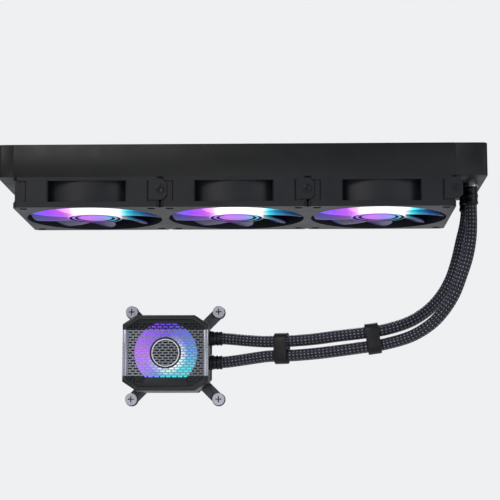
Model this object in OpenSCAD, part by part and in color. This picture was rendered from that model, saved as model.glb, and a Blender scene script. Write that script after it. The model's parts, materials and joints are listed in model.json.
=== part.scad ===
// Closed-loop liquid cooler: finned radiator with three fans under it, two hoses and a pump head.
// X runs along the row of fans, Y away from the pump's lit face, Z up.
// The origin is the centre of the radiator's top face.

/* [Fans] */
// Width of one square fan
fan_w = 120; // [100:1:144]
// Thickness of a fan
fan_t = 25; // [21:1:30]
// Distance from a fan's edge to the centre of its screw holes
hole_edge = 7.5; // [7:0.5:9]
// Wall left between the fan's bore and its side
rim_w = 3; // [2.5:0.5:6]
// Gap between the blade tips and the bore
tip_gap = 1.2; // [0.8:0.1:3]
// Thickness of the flange plates
flange_t = 4.6; // [3.5:0.1:6]
// Outer diameter of the rotor hub
hub_d = 46; // [38:1:52]
// Number of blades
blade_n = 9; // [7:1:11]
// Thickness of a blade
blade_t = 1.8; // [1.4:0.1:2.4]
// Slope of a blade
blade_pitch = 34; // [28:1:40]
// Diameter of the fan shaft
shaft_d = 3; // [2.5:0.5:4]
// Radial running clearance of a shaft
run_gap = 0.05; // [0.02:0.01:0.08]
// Length by which a link tab crosses the joint line
tab_reach = 5.4; // [4:0.2:8]
// Thickness of a link tab
tab_t = 2.4; // [1.8:0.2:3]

/* [Radiator] */
// Thickness of the radiator
rad_t = 27; // [25:1:34]
// Width of the flanges that take the screws
rail_w = 13; // [12:1:15]
// Thickness of the side rails
rail_t = 1.2; // [1:0.1:2]
// Length of the return tank
return_l = 13; // [11:1:20]
// Length of the inlet tank
inlet_l = 26; // [22:1:32]
// Wall of both tanks
tank_wall = 1.6; // [1.2:0.1:2.5]
// Number of coolant tubes
tube_n = 12; // [8:1:13]
// Thickness of a coolant tube
tube_t = 2; // [1.6:0.1:2.6]
// Height of a coolant tube
tube_h = 16; // [12:0.5:16.5]
// Wall of a coolant tube
tube_wall = 0.4; // [0.3:0.05:0.6]
// Spacing of the fin folds
fin_pitch = 12; // [10:1:20]
// Thickness of the fin sheet
fin_t = 0.3; // [0.2:0.05:0.5]
// Thickness of a header plate
header_t = 2; // [1.5:0.1:3]
// Thread diameter of the radiator screws
screw_d = 3; // [3:0.5:4]

/* [Hoses] */
// Outer diameter of a hose
hose_d = 10; // [8:0.5:12]
// Outer diameter of a barb's stem
barb_d = 6.4; // [5:0.2:7]
// Bore of a barb
barb_bore = 4.4; // [3:0.2:5]
// Length of a crimp collar at the radiator
collar_l = 14; // [10:1:16]
// Length of a crimp collar at the pump
short_collar_l = 8; // [7:1:12]
// Wall of a crimp collar
collar_wall = 1; // [0.8:0.1:1.5]
// Clearance of a collar around its hose
collar_gap = 0.1; // [0.05:0.05:0.3]
// Width of a hose comb along the hose
comb_w = 11; // [8:1:14]

/* [Pump head] */
// Width of the pump head
pump_w = 72.4; // [66:0.2:84]
// Height of the pump head
pump_h = 63.6; // [58:0.2:74]
// Depth from the contact face to the lit face
pump_d = 50; // [46:1:60]
// Width of a corner cut
cut_w = 11.4; // [8:0.2:14]
// Height of a corner cut
cut_h = 7.6; // [6:0.2:10]
// Wall of the outer shell
shell_wall = 1.8; // [1.4:0.1:3]
// Side of the cold plate
plate_w = 56; // [50:1:60]
// Thickness of the cold plate
plate_t = 3.5; // [3:0.1:5]
// Spacing of the socket's mounting holes
socket_pitch = 75; // [75:1:80]
// Diameter of a captive screw's shank
captive_d = 4; // [3:0.5:4.5]
// Outer diameter of the light ring
ring_d = 53; // [46:0.5:56]
// Outer diameter of the dark centre ring
eye_d = 26; // [20:0.5:30]
// Length of a slot in the mesh
slot_w = 3.8; // [3:0.1:4.2]
// Height of a slot in the mesh
slot_h = 1.3; // [0.8:0.1:1.4]

/* [Hidden] */
$fn = 48;
eps = 0.01;

bays = 3;
core_l = bays * fan_w;
rad_w = fan_w;
hole_pitch = fan_w - 2 * hole_edge;
bore_r = fan_w / 2 - rim_w;
tip_r = bore_r - tip_gap;
fan_low = -rad_t - fan_t;
core_w = rad_w - 2 * rail_t - 2;
tube_pitch = (core_w + tube_t) / (tube_n + 1);
fin_w = tube_pitch - tube_t;
thread_r = screw_d / 2;
shank_gap = 0.05;
screw_slack = 0.2;
clear_r = thread_r + 0.65;
thread_reach = 5;
barb_x = core_l / 2 + 16;
barb_y = 18;
pump_x = -60;
pump_z = -165;
socket_x = pump_x + 6;
front_y = 7;
contact_y = front_y + pump_d;
port_up = 14;
port_down = -6.4;
port_depth = 25;

plug_x = -core_l / 2 - return_l / 2 - 0.5;
plug_y = 34;
plug_r = 3;
plug_boss_h = 5;
barb_root_r = 4.8;
barb_flange_r = 6.4;
barb_flange_t = 2.6;
collar_start = 2.9;
ridge_step = 3;
head_sink = 3;
tab_low = 6;
tab_high = fan_t - 1.6;
tab_cut = 3.4;
corner_cut = 3;
post_in = 31.5;
post_out = 50.3;
panel_step = 1.1;
tab_gap = 0.4;
link_z = (tab_low + tab_high) / 2;
strut_n = 4;
motor_r = 19;
motor_plate_t = 1.8;
hub_r = hub_d / 2;
hub_low = 0.9;
hub_high = fan_t - 4.2;
bearing_r = 3.6;
link_head_r = 3.6;
socket_dx = socket_x - pump_x;
gasket_t = 1;
housing_low = plate_t + gasket_t;
housing_high = 33;
housing_half = 28;
housing_cut = 9;
stator_z = 20;
stator_r = 14.5;
housing_right = pump_x + socket_dx + housing_half;
chamber_w = 40;
impeller_z = 10.5;
impeller_r = 13;
impeller_h = 6;
plate_screw_r = 24.5;
pin_r = 1.5;
port_bend_x = 19;
board_z = pump_d - 12;
ring_z = pump_d - 8;
arm_z = 11;
neck_gap = 0.6;
bracket_t = 2;
arm_w = 10;
neck_r = captive_d / 2 - 0.2;
head_r = 5.1;
shell_low = arm_z + bracket_t + 1.5;
bezel_w = 3.6;
strip_h = 39;
strip_t = 2;
mesh_t = 1.2;
mesh_px = 5;
mesh_py = 2.2;
badge_top = 9.4;
badge_w = 32;
spring_top = arm_z + bracket_t + 5;
fitting_x = pump_x + pump_w / 2;
fitting_l = fitting_x - housing_right + 4;

// Points along the centre of each hose, from the radiator to the pump
hose_upper_points = [
    [196, 18, -32], [196, 18, -44], [194.5, 18, -56], [191, 18, -70], [187, 17, -86], [182, 17, -101],
    [175, 16, -114], [166, 14, -125], [155, 10, -134], [142, 6, -141], [124, 3, -146.5], [105, 3, -149.3],
    [84, 6, -151.5], [66, 10, -153.5], [48, 14.3, -154.6], [28, 19.7, -154.8], [18, 23, -154.2], [8, 26.5, -153.2],
    [-2, 29.6, -152], [-10, 31.5, -151.2], [-15, 32, -151], [-26, 32, -151]
];
hose_lower_points = [
    [196, -18, -32], [196, -18, -46], [196, -18, -60], [195, -18, -74], [192, -18, -89], [187, -17, -104],
    [181, -16, -119], [172, -14, -133], [161, -10, -144], [145, -3, -153], [124, 3, -158.6],
    [105, 3, -161.4], [84, 6, -164], [66, 10, -165.8], [48, 14.3, -166.9], [28, 19.7, -167.1], [18, 23, -168],
    [8, 26.5, -169.2], [-2, 29.6, -170.4], [-10, 31.5, -171.2], [-15, 32, -171.4], [-26, 32, -171.4]
];
hose_sides = 12;

function unit(v) = v / norm(v);
function tangent(p, i) = unit(p[min(i + 1, len(p) - 1)] - p[max(i - 1, 0)]);
function ring_side(t) = unit(cross(t, [0, 1, 0]));
function ring_point(p, i, k, r) =
    let (t = tangent(p, i), u = ring_side(t), v = cross(t, u), a = 360 * k / hose_sides)
    p[i] + r * (cos(a) * u + sin(a) * v);

// A round tube solid swept along a list of points
module swept(p, r) {
    n = len(p);
    m = hose_sides;
    polyhedron(
        points = [for (i = [0:n - 1], k = [0:m - 1]) ring_point(p, i, k, r)],
        faces = concat(
            [[for (k = [0:m - 1]) k]],
            [[for (k = [m - 1:-1:0]) (n - 1) * m + k]],
            [for (i = [0:n - 2], k = [0:m - 1])
                [i * m + (k + 1) % m, i * m + k, (i + 1) * m + k, (i + 1) * m + (k + 1) % m]]
        )
    );
}

// Places its children at every screw position of one fan bay
module at_screws() {
    for (sx = [-1, 1], sy = [-1, 1])
        translate([sx * hole_pitch / 2, sy * hole_pitch / 2, 0])
            children();
}

// Places its children at the centre of every bay
module at_bays() {
    for (i = [0:bays - 1])
        translate([(i - (bays - 1) / 2) * fan_w, 0, 0])
            children();
}

// ---- Radiator ----

module coolant_tubes() {
    inset = header_t + 2;
    color("dimgray")
        for (i = [1:tube_n])
            translate([0, -core_w / 2 + i * tube_pitch - tube_t / 2, -rad_t / 2])
                difference() {
                    cube([core_l + 2 * inset, tube_t, tube_h], center = true);
                    cube([core_l + 2 * inset + 1, tube_t - 2 * tube_wall, tube_h - 2 * tube_wall], center = true);
                }
}

// One folded fin strip seen from above: a wave with flat crests that touch the tubes
module fin_strip(l, w, pitch, t) {
    n = floor(l / pitch);
    flat = pitch / 6;
    start = -n * pitch / 2;
    lower = [for (i = [0:n - 1], c = [[0, 0], [flat, 0], [pitch / 2 - t, w - t], [pitch - flat, w - t]])
        [start + i * pitch + c[0], c[1]]];
    upper = [for (i = [n - 1:-1:0], c = [[pitch - flat + t, w], [pitch / 2 - 2 * t, w], [flat - t, t], [0, t]])
        [start + i * pitch + c[0], c[1]]];
    polygon(concat(lower, [[start + n * pitch, 0], [start + n * pitch, t]], upper));
}

module folded_fins() {
    color("gray")
        for (i = [0:tube_n])
            translate([0, -core_w / 2 + i * tube_pitch, -rad_t / 2 - tube_h / 2])
                linear_extrude(height = tube_h)
                    fin_strip(core_l - 4, fin_w, fin_pitch, fin_t);
}

module header_plates() {
    color("black")
        for (s = [-1, 1])
            translate([s * (core_l / 2 + header_t / 2), 0, -rad_t / 2])
                difference() {
                    cube([header_t, rad_w - 2 * tank_wall, rad_t - 2 * tank_wall], center = true);
                    for (i = [1:tube_n])
                        translate([0, -core_w / 2 + i * tube_pitch - tube_t / 2, 0])
                            cube([header_t + 1, tube_t, tube_h], center = true);
                }
}

// Outline of a tank from above, with its two outer corners rounded
module tank_outline(l, w, r) {
    hull() {
        translate([0, -w / 2])
            square([eps, w]);
        for (s = [-1, 1])
            translate([l - r, s * (w / 2 - r)])
                circle(r = r, $fn = 32);
    }
}

module tank(l) {
    difference() {
        translate([0, 0, -rad_t])
            linear_extrude(height = rad_t)
                tank_outline(l, rad_w, 4);
        translate([-1, 0, -rad_t + tank_wall])
            linear_extrude(height = rad_t - 2 * tank_wall)
                tank_outline(l + 1 - tank_wall, rad_w - 2 * tank_wall, 3);
    }
}

module return_tank() {
    color("black")
        difference() {
            union() {
                translate([-core_l / 2, 0, 0])
                    rotate([0, 0, 180])
                        tank(return_l);
                translate([plug_x, plug_y, -rad_t])
                    cylinder(r = plug_r + 1.8, h = plug_boss_h);
            }
            translate([plug_x, plug_y, -rad_t - 1])
                cylinder(r = plug_r, h = plug_boss_h + 2);
            translate([plug_x, plug_y, -rad_t - eps])
                cylinder(r = plug_r + 1.2, h = 1.2);
        }
}

module fill_plug() {
    color("silver")
        translate([plug_x, plug_y, -rad_t])
            difference() {
                union() {
                    cylinder(r = plug_r, h = plug_boss_h);
                    translate([0, 0, -1.2])
                        cylinder(r = plug_r + 1.4, h = 1.2);
                }
                translate([0, 0, -2])
                    cylinder(r = 1.5, h = 3.5, $fn = 6);
            }
}

module fill_plug_seal() {
    color("red")
        translate([plug_x, plug_y, -rad_t])
            difference() {
                cylinder(r = plug_r + 1.1, h = 1.1);
                translate([0, 0, -1])
                    cylinder(r = plug_r, h = 3);
            }
}

module inlet_tank() {
    color("black")
        difference() {
            union() {
                translate([core_l / 2, 0, 0])
                    tank(inlet_l);
                translate([core_l / 2 + header_t, -tank_wall / 2, -rad_t + tank_wall])
                    cube([inlet_l - header_t - tank_wall / 2, tank_wall, rad_t - 2 * tank_wall]);
                for (s = [-1, 1])
                    translate([barb_x, s * barb_y, -rad_t])
                        cylinder(r = 7, h = 5);
            }
            for (s = [-1, 1])
                translate([barb_x, s * barb_y, -rad_t - 1])
                    cylinder(r = 4.8, h = 7);
        }
}

module rail_flange(z, hole_r) {
    translate([0, 0, z])
        linear_extrude(height = rail_t)
            difference() {
                translate([-core_l / 2, -rad_w / 2])
                    square([core_l, rail_w]);
                at_bays()
                    for (sx = [-1, 1])
                        translate([sx * hole_pitch / 2, -hole_pitch / 2])
                            circle(r = hole_r);
            }
}

module side_rails() {
    color("black")
        for (a = [0, 180])
            rotate([0, 0, a])
                union() {
                    rail_flange(-rail_t, thread_r);
                    rail_flange(-rad_t, thread_r + screw_slack);
                    translate([-core_l / 2, -rad_w / 2, -rad_t])
                        cube([core_l, rail_t, rad_t]);
                }
}

// ---- Hoses and their fittings ----

// A barbed stem along -Z with its root above z = 0: length of the root and of the stem
module barb(root, l) {
    r = barb_d / 2;
    ridges = [for (i = [0:floor((l - 4) / ridge_step) - 1], q = [[r + 0.5, -3.4], [r, -3.4 - ridge_step]])
        [q[0], q[1] - i * ridge_step]];
    rotate_extrude()
        polygon(concat(
            [[barb_bore / 2, root], [barb_root_r, root], [barb_root_r, 0], [barb_flange_r, 0]],
            [[barb_flange_r, -barb_flange_t], [r, -barb_flange_t], [r, -3.4]],
            ridges,
            [[r - 0.3, -l], [barb_bore / 2, -l]]
        ));
}

// A crimp collar along -Z with two shallow rings pressed into it
module collar(l) {
    inner = hose_d / 2 + collar_gap;
    outer = inner + collar_wall;
    ring = 0.35;
    step = l / 5;
    rotate_extrude()
        translate([0, -collar_start])
            polygon([
                [inner, 0], [outer, 0], [outer, -step + ring], [outer - ring, -step], [outer - ring, -2 * step],
                [outer, -2 * step - ring], [outer, -3 * step + ring], [outer - ring, -3 * step],
                [outer - ring, -4 * step], [outer, -4 * step - ring], [outer, -l + ring], [outer - ring, -l], [inner, -l]
            ]);
}

module at_radiator_ports() {
    for (s = [-1, 1])
        translate([barb_x, s * barb_y, -rad_t])
            children();
}

// Turns a piece made along -Z so that it points along +X at each pump port
module at_pump_ports() {
    for (z = [port_up, port_down])
        translate([fitting_x, contact_y - port_depth, pump_z + z])
            rotate([0, -90, 0])
                children();
}

module radiator_barbs() {
    color("silver")
        at_radiator_ports()
            barb(5, collar_l);
}

module radiator_collars() {
    color("black")
        at_radiator_ports()
            collar(collar_l);
}

module hose_fittings() {
    color("black")
        at_pump_ports()
            barb(fitting_l, short_collar_l);
}

module pump_collars() {
    color("black")
        at_pump_ports()
            collar(short_collar_l);
}

module fitting_seals() {
    color("red")
        for (z = [port_up, port_down])
            translate([housing_right - 1.4, contact_y - port_depth, pump_z + z])
                rotate([0, 90, 0])
                    difference() {
                        cylinder(r = barb_root_r + 1, h = 1.4);
                        translate([0, 0, -1])
                            cylinder(r = barb_root_r, h = 4);
                    }
}

module hose_upper() {
    color("#15151c")
        swept(hose_upper_points, hose_d / 2);
}

module hose_lower() {
    color("#15151c")
        swept(hose_lower_points, hose_d / 2);
}

// A two-hole clip around both hoses: centre of each hole, and the way the hoses run there
module comb(upper, lower, along) {
    r = hose_d / 2 + 0.25;
    half = norm(upper - lower) / 2;
    color("black")
        translate((upper + lower) / 2)
            rotate([0, 90 - asin(along[2] / norm(along)), atan2(along[1], along[0])])
                difference() {
                    translate([0, 0, -comb_w / 2])
                        linear_extrude(height = comb_w)
                            hull()
                                for (s = [-1, 1])
                                    translate([s * half, 0])
                                        circle(r = r + 1.8, $fn = 32);
                    for (s = [-1, 1])
                        translate([s * half, 0, -comb_w])
                            cylinder(r = r, h = 2 * comb_w);
                }
}

// The combs sit midway between two points of each hose
module comb_between(i, j) {
    a = hose_upper_points[i];
    b = hose_upper_points[i + 1];
    c = hose_lower_points[j];
    d = hose_lower_points[j + 1];
    comb((a + b) / 2, (c + d) / 2, a - b);
}

module comb_by_pump() {
    comb_between(14, 14);
}

module comb_midway() {
    comb_between(10, 10);
}

// ---- Fans: each is built standing on z = 0 with its intake face down ----

module square_outline(w, cut) {
    h = w / 2;
    polygon([
        [-h + cut, -h], [h - cut, -h], [h, -h + cut], [h, h - cut],
        [h - cut, h], [-h + cut, h], [-h, h - cut], [-h, -h + cut]
    ]);
}

// Corner post in plan: a raised panel with bevelled sides on each outer face
module post_outline() {
    h = fan_w / 2;
    a = h - (60 - post_in);
    b = h - (60 - post_out);
    s = panel_step;
    polygon([
        [a, h - 14], [a, h - s], [a + s, h], [b - s, h], [b, h - s], [h - s, h - s],
        [h - s, b], [h, b - s], [h, a + s], [h - s, a], [h - 14, a]
    ]);
}

// Link tab in its own plane: x across the joint line, y up the fan
module tab_outline(grow) {
    lo = tab_low - grow;
    hi = tab_high + grow;
    out = tab_reach + grow;
    polygon([
        [-9, lo], [out - tab_cut, lo], [out, lo + tab_cut], [out, hi - tab_cut],
        [out - tab_cut, hi], [-9, hi]
    ]);
}

module fan_body() {
    h = fan_w / 2;
    difference() {
        union() {
            linear_extrude(height = flange_t)
                square_outline(fan_w, corner_cut);
            translate([0, 0, fan_t - flange_t + 1.6])
                linear_extrude(height = flange_t - 1.6)
                    square_outline(fan_w, corner_cut);
            cylinder(r = bore_r + 2, h = fan_t);
            translate([0, 0, 0.5])
                linear_extrude(height = fan_t - 1)
                    for (a = [0, 90, 180, 270])
                        rotate([0, 0, a])
                            post_outline();
        }
        translate([0, 0, -1])
            cylinder(r = bore_r, h = fan_t + 2);
        translate([0, 0, -1])
            at_screws()
                cylinder(r = clear_r, h = fan_t + 2);
        translate([0, 0, -eps])
            at_screws()
                cylinder(r = screw_d + 0.4, h = head_sink + eps);
        for (sy = [-1, 1])
            translate([-h, sy * h, 0])
                rotate([90, 0, 0])
                    translate([0, 0, -tab_t - 0.8])
                        linear_extrude(height = 2 * tab_t + 1.6)
                            tab_outline(tab_gap);
    }
}

module fan_frame() {
    h = fan_w / 2;
    difference() {
        union() {
            fan_body();
            for (sy = [-1, 1])
                translate([h, sy * (h - tab_t / 2), 0])
                    rotate([90, 0, 0])
                        translate([0, 0, -tab_t / 2])
                            linear_extrude(height = tab_t)
                                tab_outline(0);
            translate([0, 0, fan_t - motor_plate_t])
                cylinder(r = motor_r, h = motor_plate_t);
            for (a = [0:360 / strut_n:359])
                rotate([0, 0, a + 45])
                    translate([motor_r - 2, -2, fan_t - 3])
                        cube([bore_r - motor_r + 3, 4, 3]);
            translate([0, 0, fan_t - 14])
                cylinder(r = bearing_r + 1.5, h = 14);
        }
        translate([0, 0, fan_t - 15])
            cylinder(r = bearing_r, h = 13.5);
        for (sx = [-1, 1], sy = [-1, 1])
            translate([sx * h, sy * (h + 1), link_z])
                rotate([sy * 90, 0, 0])
                    cylinder(r = 1.5, h = 9);
    }
}

module fan_rotor() {
    low = 2.2;
    high = fan_t - 5;
    chord = (high - low) / sin(blade_pitch) * 1.3;
    // Stepped hub with concentric grooves on its intake face, open at the back for the motor
    rotate_extrude()
        polygon([
            [0, hub_low], [9, hub_low], [11.5, hub_low + 0.5], [15, hub_low + 1.4], [15, hub_low + 2],
            [16.4, hub_low + 2], [16.4, hub_low + 0.7], [20, hub_low + 0.7], [20, hub_low + 1.8],
            [21.4, hub_low + 1.8], [21.4, hub_low + 0.2], [hub_r - 0.6, hub_low + 0.2], [hub_r, hub_low + 0.9],
            [hub_r, hub_high], [hub_r - 1.6, hub_high], [hub_r - 1.6, hub_low + 3.6],
            [shaft_d / 2, hub_low + 3.6], [shaft_d / 2, hub_low + 2], [0, hub_low + 2]
        ]);
    intersection() {
        translate([0, 0, low])
            difference() {
                cylinder(r = tip_r, h = high - low);
                translate([0, 0, -1])
                    cylinder(r = hub_r - 0.8, h = high);
            }
        for (i = [0:blade_n - 1])
            rotate([0, 0, i * 360 / blade_n])
                translate([0, 0, (low + high) / 2])
                    rotate([blade_pitch, 0, 0])
                        translate([hub_r - 2, -chord / 2, -blade_t / 2])
                            cube([tip_r, chord, blade_t]);
    }
}

module fan_shaft() {
    translate([0, 0, hub_low + 2])
        cylinder(r = shaft_d / 2, h = fan_t - 3 - hub_low - 2);
}

module fan_magnet() {
    difference() {
        translate([0, 0, hub_low + 5])
            cylinder(r = hub_r - 1.6, h = 9);
        translate([0, 0, hub_low + 4])
            cylinder(r = hub_r - 3.4, h = 11);
    }
}

module fan_bearing() {
    translate([0, 0, fan_t - 13.5])
        difference() {
            cylinder(r = bearing_r, h = 12);
            translate([0, 0, -1])
                cylinder(r = shaft_d / 2 + run_gap, h = 14);
        }
}

module fan_stator() {
    translate([0, 0, fan_t - 13.4])
        difference() {
            union() {
                cylinder(r = 8, h = 7.5);
                for (a = [45, 135, 225, 315])
                    rotate([0, 0, a]) {
                        translate([0, -2, 1])
                            cube([17.6, 4, 5.5]);
                        intersection() {
                            difference() {
                                cylinder(r = hub_r - 4, h = 7.5);
                                translate([0, 0, -1])
                                    cylinder(r = hub_r - 6, h = 10);
                            }
                            translate([10, -7, 0])
                                cube([12, 14, 7.5]);
                        }
                    }
            }
            translate([0, 0, -1])
                cylinder(r = bearing_r + 1.5, h = 10);
        }
}

module fan_board() {
    translate([0, 0, fan_t - motor_plate_t - 1.6])
        difference() {
            union() {
                cylinder(r = motor_r - 2.2, h = 1.6);
                for (a = [15:30:345])
                    rotate([0, 0, a])
                        translate([13.8, -1.25, -1])
                            cube([2.5, 2.5, 1.5]);
            }
            translate([0, 0, -2])
                cylinder(r = bearing_r + 1.5, h = 5);
        }
}

module place_fan(i) {
    translate([(i - 2) * fan_w, 0, fan_low])
        children();
}

module cross_recess(r, depth) {
    for (a = [0, 90])
        rotate([0, 0, a])
            translate([-r, -0.45, -eps])
                cube([2 * r, 0.9, depth]);
}

module fan_screws() {
    head_z = fan_low + head_sink;
    color("black")
        at_bays()
            at_screws()
                translate([0, 0, head_z])
                    difference() {
                        union() {
                            translate([0, 0, -2.2])
                                cylinder(r = screw_d, h = 2.2);
                            cylinder(r = thread_r - shank_gap, h = fan_t - head_sink + thread_reach);
                        }
                        translate([0, 0, -2.2])
                            cross_recess(1.9, 1.3);
                    }
}

module link_screws() {
    color("#202024")
        for (i = [1:bays], sy = [-1, 1])
            translate([(i - 1.5) * fan_w, sy * (fan_w / 2 + 0.6), fan_low + link_z])
                rotate([sy * 90, 0, 0])
                    difference() {
                        union() {
                            cylinder(r = link_head_r, h = 0.6);
                            cylinder(r = 1.45, h = 7.5);
                        }
                        cross_recess(2.2, 0.45);
                    }
}

// ---- Pump head: built along +Z from its contact face, then turned to face -Y ----

module place_pump() {
    translate([pump_x, contact_y, pump_z])
        rotate([90, 0, 0])
            children();
}

module place_socket() {
    translate([socket_x, contact_y, pump_z])
        rotate([90, 0, 0])
            children();
}

// Eight-sided outline of the head, shrunk by d on all sides
module head_outline(d) {
    a = pump_w / 2 - d;
    b = pump_h / 2 - d;
    k = d * 0.35;
    polygon([
        [-a + cut_w - k, -b], [a - cut_w + k, -b], [a, -b + cut_h - k], [a, b - cut_h + k],
        [a - cut_w + k, b], [-a + cut_w - k, b], [-a, b - cut_h + k], [-a, -b + cut_h - k]
    ]);
}

module cold_plate() {
    fin_n = 20;
    fin_gap = 1.5;
    color("#b87333")
        place_socket()
            difference() {
                union() {
                    linear_extrude(height = plate_t)
                        square_outline(plate_w, 5);
                    for (i = [0:fin_n - 1])
                        translate([(i - (fin_n - 1) / 2) * fin_gap, 0, plate_t + 1.3])
                            cube([0.5, 30, 3], center = true);
                }
                for (a = [0:45:315])
                    rotate([0, 0, a])
                        translate([a % 90 == 0 ? plate_screw_r : plate_screw_r * 1.3, 0, -1])
                            cylinder(r = 1.5, h = plate_t + 2);
                for (a = [0:45:315])
                    rotate([0, 0, a])
                        translate([a % 90 == 0 ? plate_screw_r : plate_screw_r * 1.3, 0, -eps])
                            cylinder(r = 2.9, h = 1.9);
            }
}

module cold_plate_screws() {
    color("#303034")
        place_socket()
            for (a = [0:45:315])
                rotate([0, 0, a])
                    translate([a % 90 == 0 ? plate_screw_r : plate_screw_r * 1.3, 0, 0.2])
                        difference() {
                            union() {
                                cylinder(r = 2.6, h = 1.6);
                                cylinder(r = 1.4, h = 9);
                            }
                            cross_recess(1.7, 1);
                        }
}

module plate_gasket() {
    color("#202020")
        place_socket()
            translate([0, 0, plate_t])
                linear_extrude(height = gasket_t)
                    difference() {
                        square_outline(chamber_w + 4, 4);
                        square_outline(chamber_w, 3);
                    }
}

module coolant_housing() {
    color("#1c1c20")
        place_socket()
            difference() {
                translate([0, 0, housing_low])
                    linear_extrude(height = housing_high - housing_low)
                        square_outline(2 * housing_half, housing_cut);
                translate([0, 0, housing_low - 1])
                    linear_extrude(height = 4.5)
                        square_outline(chamber_w - 1, 3);
                translate([0, 0, impeller_z - 1])
                    cylinder(r = impeller_r + 1, h = impeller_h + 2);
                translate([0, 0, housing_low])
                    cylinder(r = 4, h = impeller_z - housing_low);
                translate([0, 0, impeller_z])
                    cylinder(r = pin_r, h = impeller_h + 2);
                translate([0, 0, stator_z])
                    cylinder(r = stator_r + 0.6, h = housing_high);
                for (a = [0:45:315])
                    rotate([0, 0, a])
                        translate([a % 90 == 0 ? plate_screw_r : plate_screw_r * 1.3, 0, 0])
                            cylinder(r = 1.45, h = 10);
                for (y = [port_up, port_down])
                    translate([port_bend_x, y, port_depth])
                        rotate([0, 90, 0])
                            cylinder(r = 2.6, h = 30);
                for (y = [port_up, port_down])
                    translate([port_bend_x, y, housing_low + 2])
                        cylinder(r = 2.6, h = port_depth - housing_low);
                for (y = [port_up, port_down])
                    translate([housing_half - 4.2, y, port_depth])
                        rotate([0, 90, 0])
                            cylinder(r = barb_root_r + 0.05, h = 10);
                for (y = [port_up, port_down])
                    translate([housing_half - 1.5, y, port_depth])
                        rotate([0, 90, 0])
                            cylinder(r = barb_root_r + 1.1, h = 3);
            }
}

module impeller() {
    color("white")
        place_socket()
            translate([0, 0, impeller_z])
                difference() {
                    union() {
                        translate([0, 0, 2.5])
                            cylinder(r = impeller_r - 0.5, h = impeller_h - 2.5);
                        cylinder(r = 3.6, h = impeller_h);
                        for (a = [0:60:300])
                            rotate([0, 0, a])
                                translate([2, -0.6, 0.4])
                                    cube([impeller_r - 3.5, 1.2, 3]);
                    }
                    translate([0, 0, -1])
                        cylinder(r = pin_r + run_gap, h = impeller_h + 2);
                }
}

module impeller_pin() {
    color("ivory")
        place_socket()
            translate([0, 0, impeller_z - 0.6])
                cylinder(r = pin_r, h = impeller_h + 2.4);
}

module pump_stator() {
    color("#b5651d")
        place_socket()
            translate([0, 0, stator_z + 0.2])
                difference() {
                    union() {
                        cylinder(r = 7, h = 8);
                        for (a = [0:60:300])
                            rotate([0, 0, a])
                                translate([0, -3, 0])
                                    cube([stator_r - 0.5, 6, 8]);
                    }
                    translate([0, 0, -1])
                        cylinder(r = 3, h = 10);
                }
}

module pump_board() {
    color("darkgreen")
        place_pump()
            translate([0, 0, board_z]) {
                linear_extrude(height = 1.6)
                    difference() {
                        head_outline(shell_wall + 0.6);
                        circle(r = 5);
                    }
                for (a = [0:30:330])
                    rotate([0, 0, a])
                        translate([19, -1.75, 1.6 - eps])
                            cube([3.5, 3.5, 1.2]);
            }
}

module light_ring() {
    color("violet")
        place_pump()
            translate([0, 0, ring_z])
                difference() {
                    union() {
                        cylinder(r = ring_d / 2, h = 3);
                    }
                    translate([0, 0, -1])
                        cylinder(r = eye_d / 2, h = 5);
                }
}

module pump_shell() {
    color("#141418")
        place_pump()
            difference() {
                translate([0, 0, shell_low])
                    linear_extrude(height = pump_d - 4.2 - shell_low)
                        head_outline(0);
                translate([0, 0, shell_low - 1])
                    linear_extrude(height = pump_d)
                        head_outline(shell_wall);
                for (y = [port_up, port_down])
                    translate([pump_w / 2 - 5, y, port_depth])
                        rotate([0, 90, 0])
                            cylinder(r = barb_root_r + 0.2, h = 10);
            }
}

module pump_bezel() {
    color("#101014")
        place_pump()
            difference() {
                translate([0, 0, pump_d - 4.2])
                    linear_extrude(height = 4.2)
                        difference() {
                            head_outline(0);
                            head_outline(bezel_w);
                        }
                for (s = [-1, 1])
                    translate([s * (pump_w / 2 - bezel_w / 2), 0, pump_d])
                        cube([bezel_w + 1, strip_h, 2 * strip_t], center = true);
            }
}

module side_strips() {
    color("silver")
        place_pump()
            for (s = [-1, 1])
                translate([s * (pump_w / 2 - bezel_w / 2), 0, pump_d - strip_t / 2])
                    difference() {
                        cube([bezel_w, strip_h - 0.1, strip_t], center = true);
                        translate([s * 0.6, 0, strip_t / 2])
                            cube([0.7, strip_h, 1], center = true);
                    }
}

module mesh_field() {
    cols = ceil(pump_w / mesh_px / 2);
    rows = floor((pump_h / 2 - bezel_w) / mesh_py);
    for (j = [-rows + 1:rows - 1], i = [-cols:cols])
        translate([i * mesh_px + (j % 2 == 0 ? 0 : mesh_px / 2), j * mesh_py])
            square([slot_w, slot_h], center = true);
}

// Badge outline: a wide trapezoid standing on the lower edge of the mesh
module badge_outline(d) {
    low = -pump_h / 2 + bezel_w + 0.1;
    polygon([
        [-badge_w / 2 - 5.2 - d, low - d], [badge_w / 2 + 5.2 + d, low - d],
        [badge_w / 2 + d, low + badge_top - 2.6 + d], [-badge_w / 2 - d, low + badge_top - 2.6 + d]
    ]);
}

module mesh_cover() {
    color("#8a8c92")
        place_pump()
            translate([0, 0, pump_d - 3])
                linear_extrude(height = mesh_t)
                    difference() {
                        head_outline(bezel_w + 0.05);
                        intersection() {
                            mesh_field();
                            head_outline(bezel_w + 1.2);
                        }
                    }
}

module badge_plate() {
    color("#26262a")
        place_pump()
            translate([0, 0, pump_d - 3 + mesh_t])
                linear_extrude(height = 1.1)
                    badge_outline(0);
}

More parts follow.
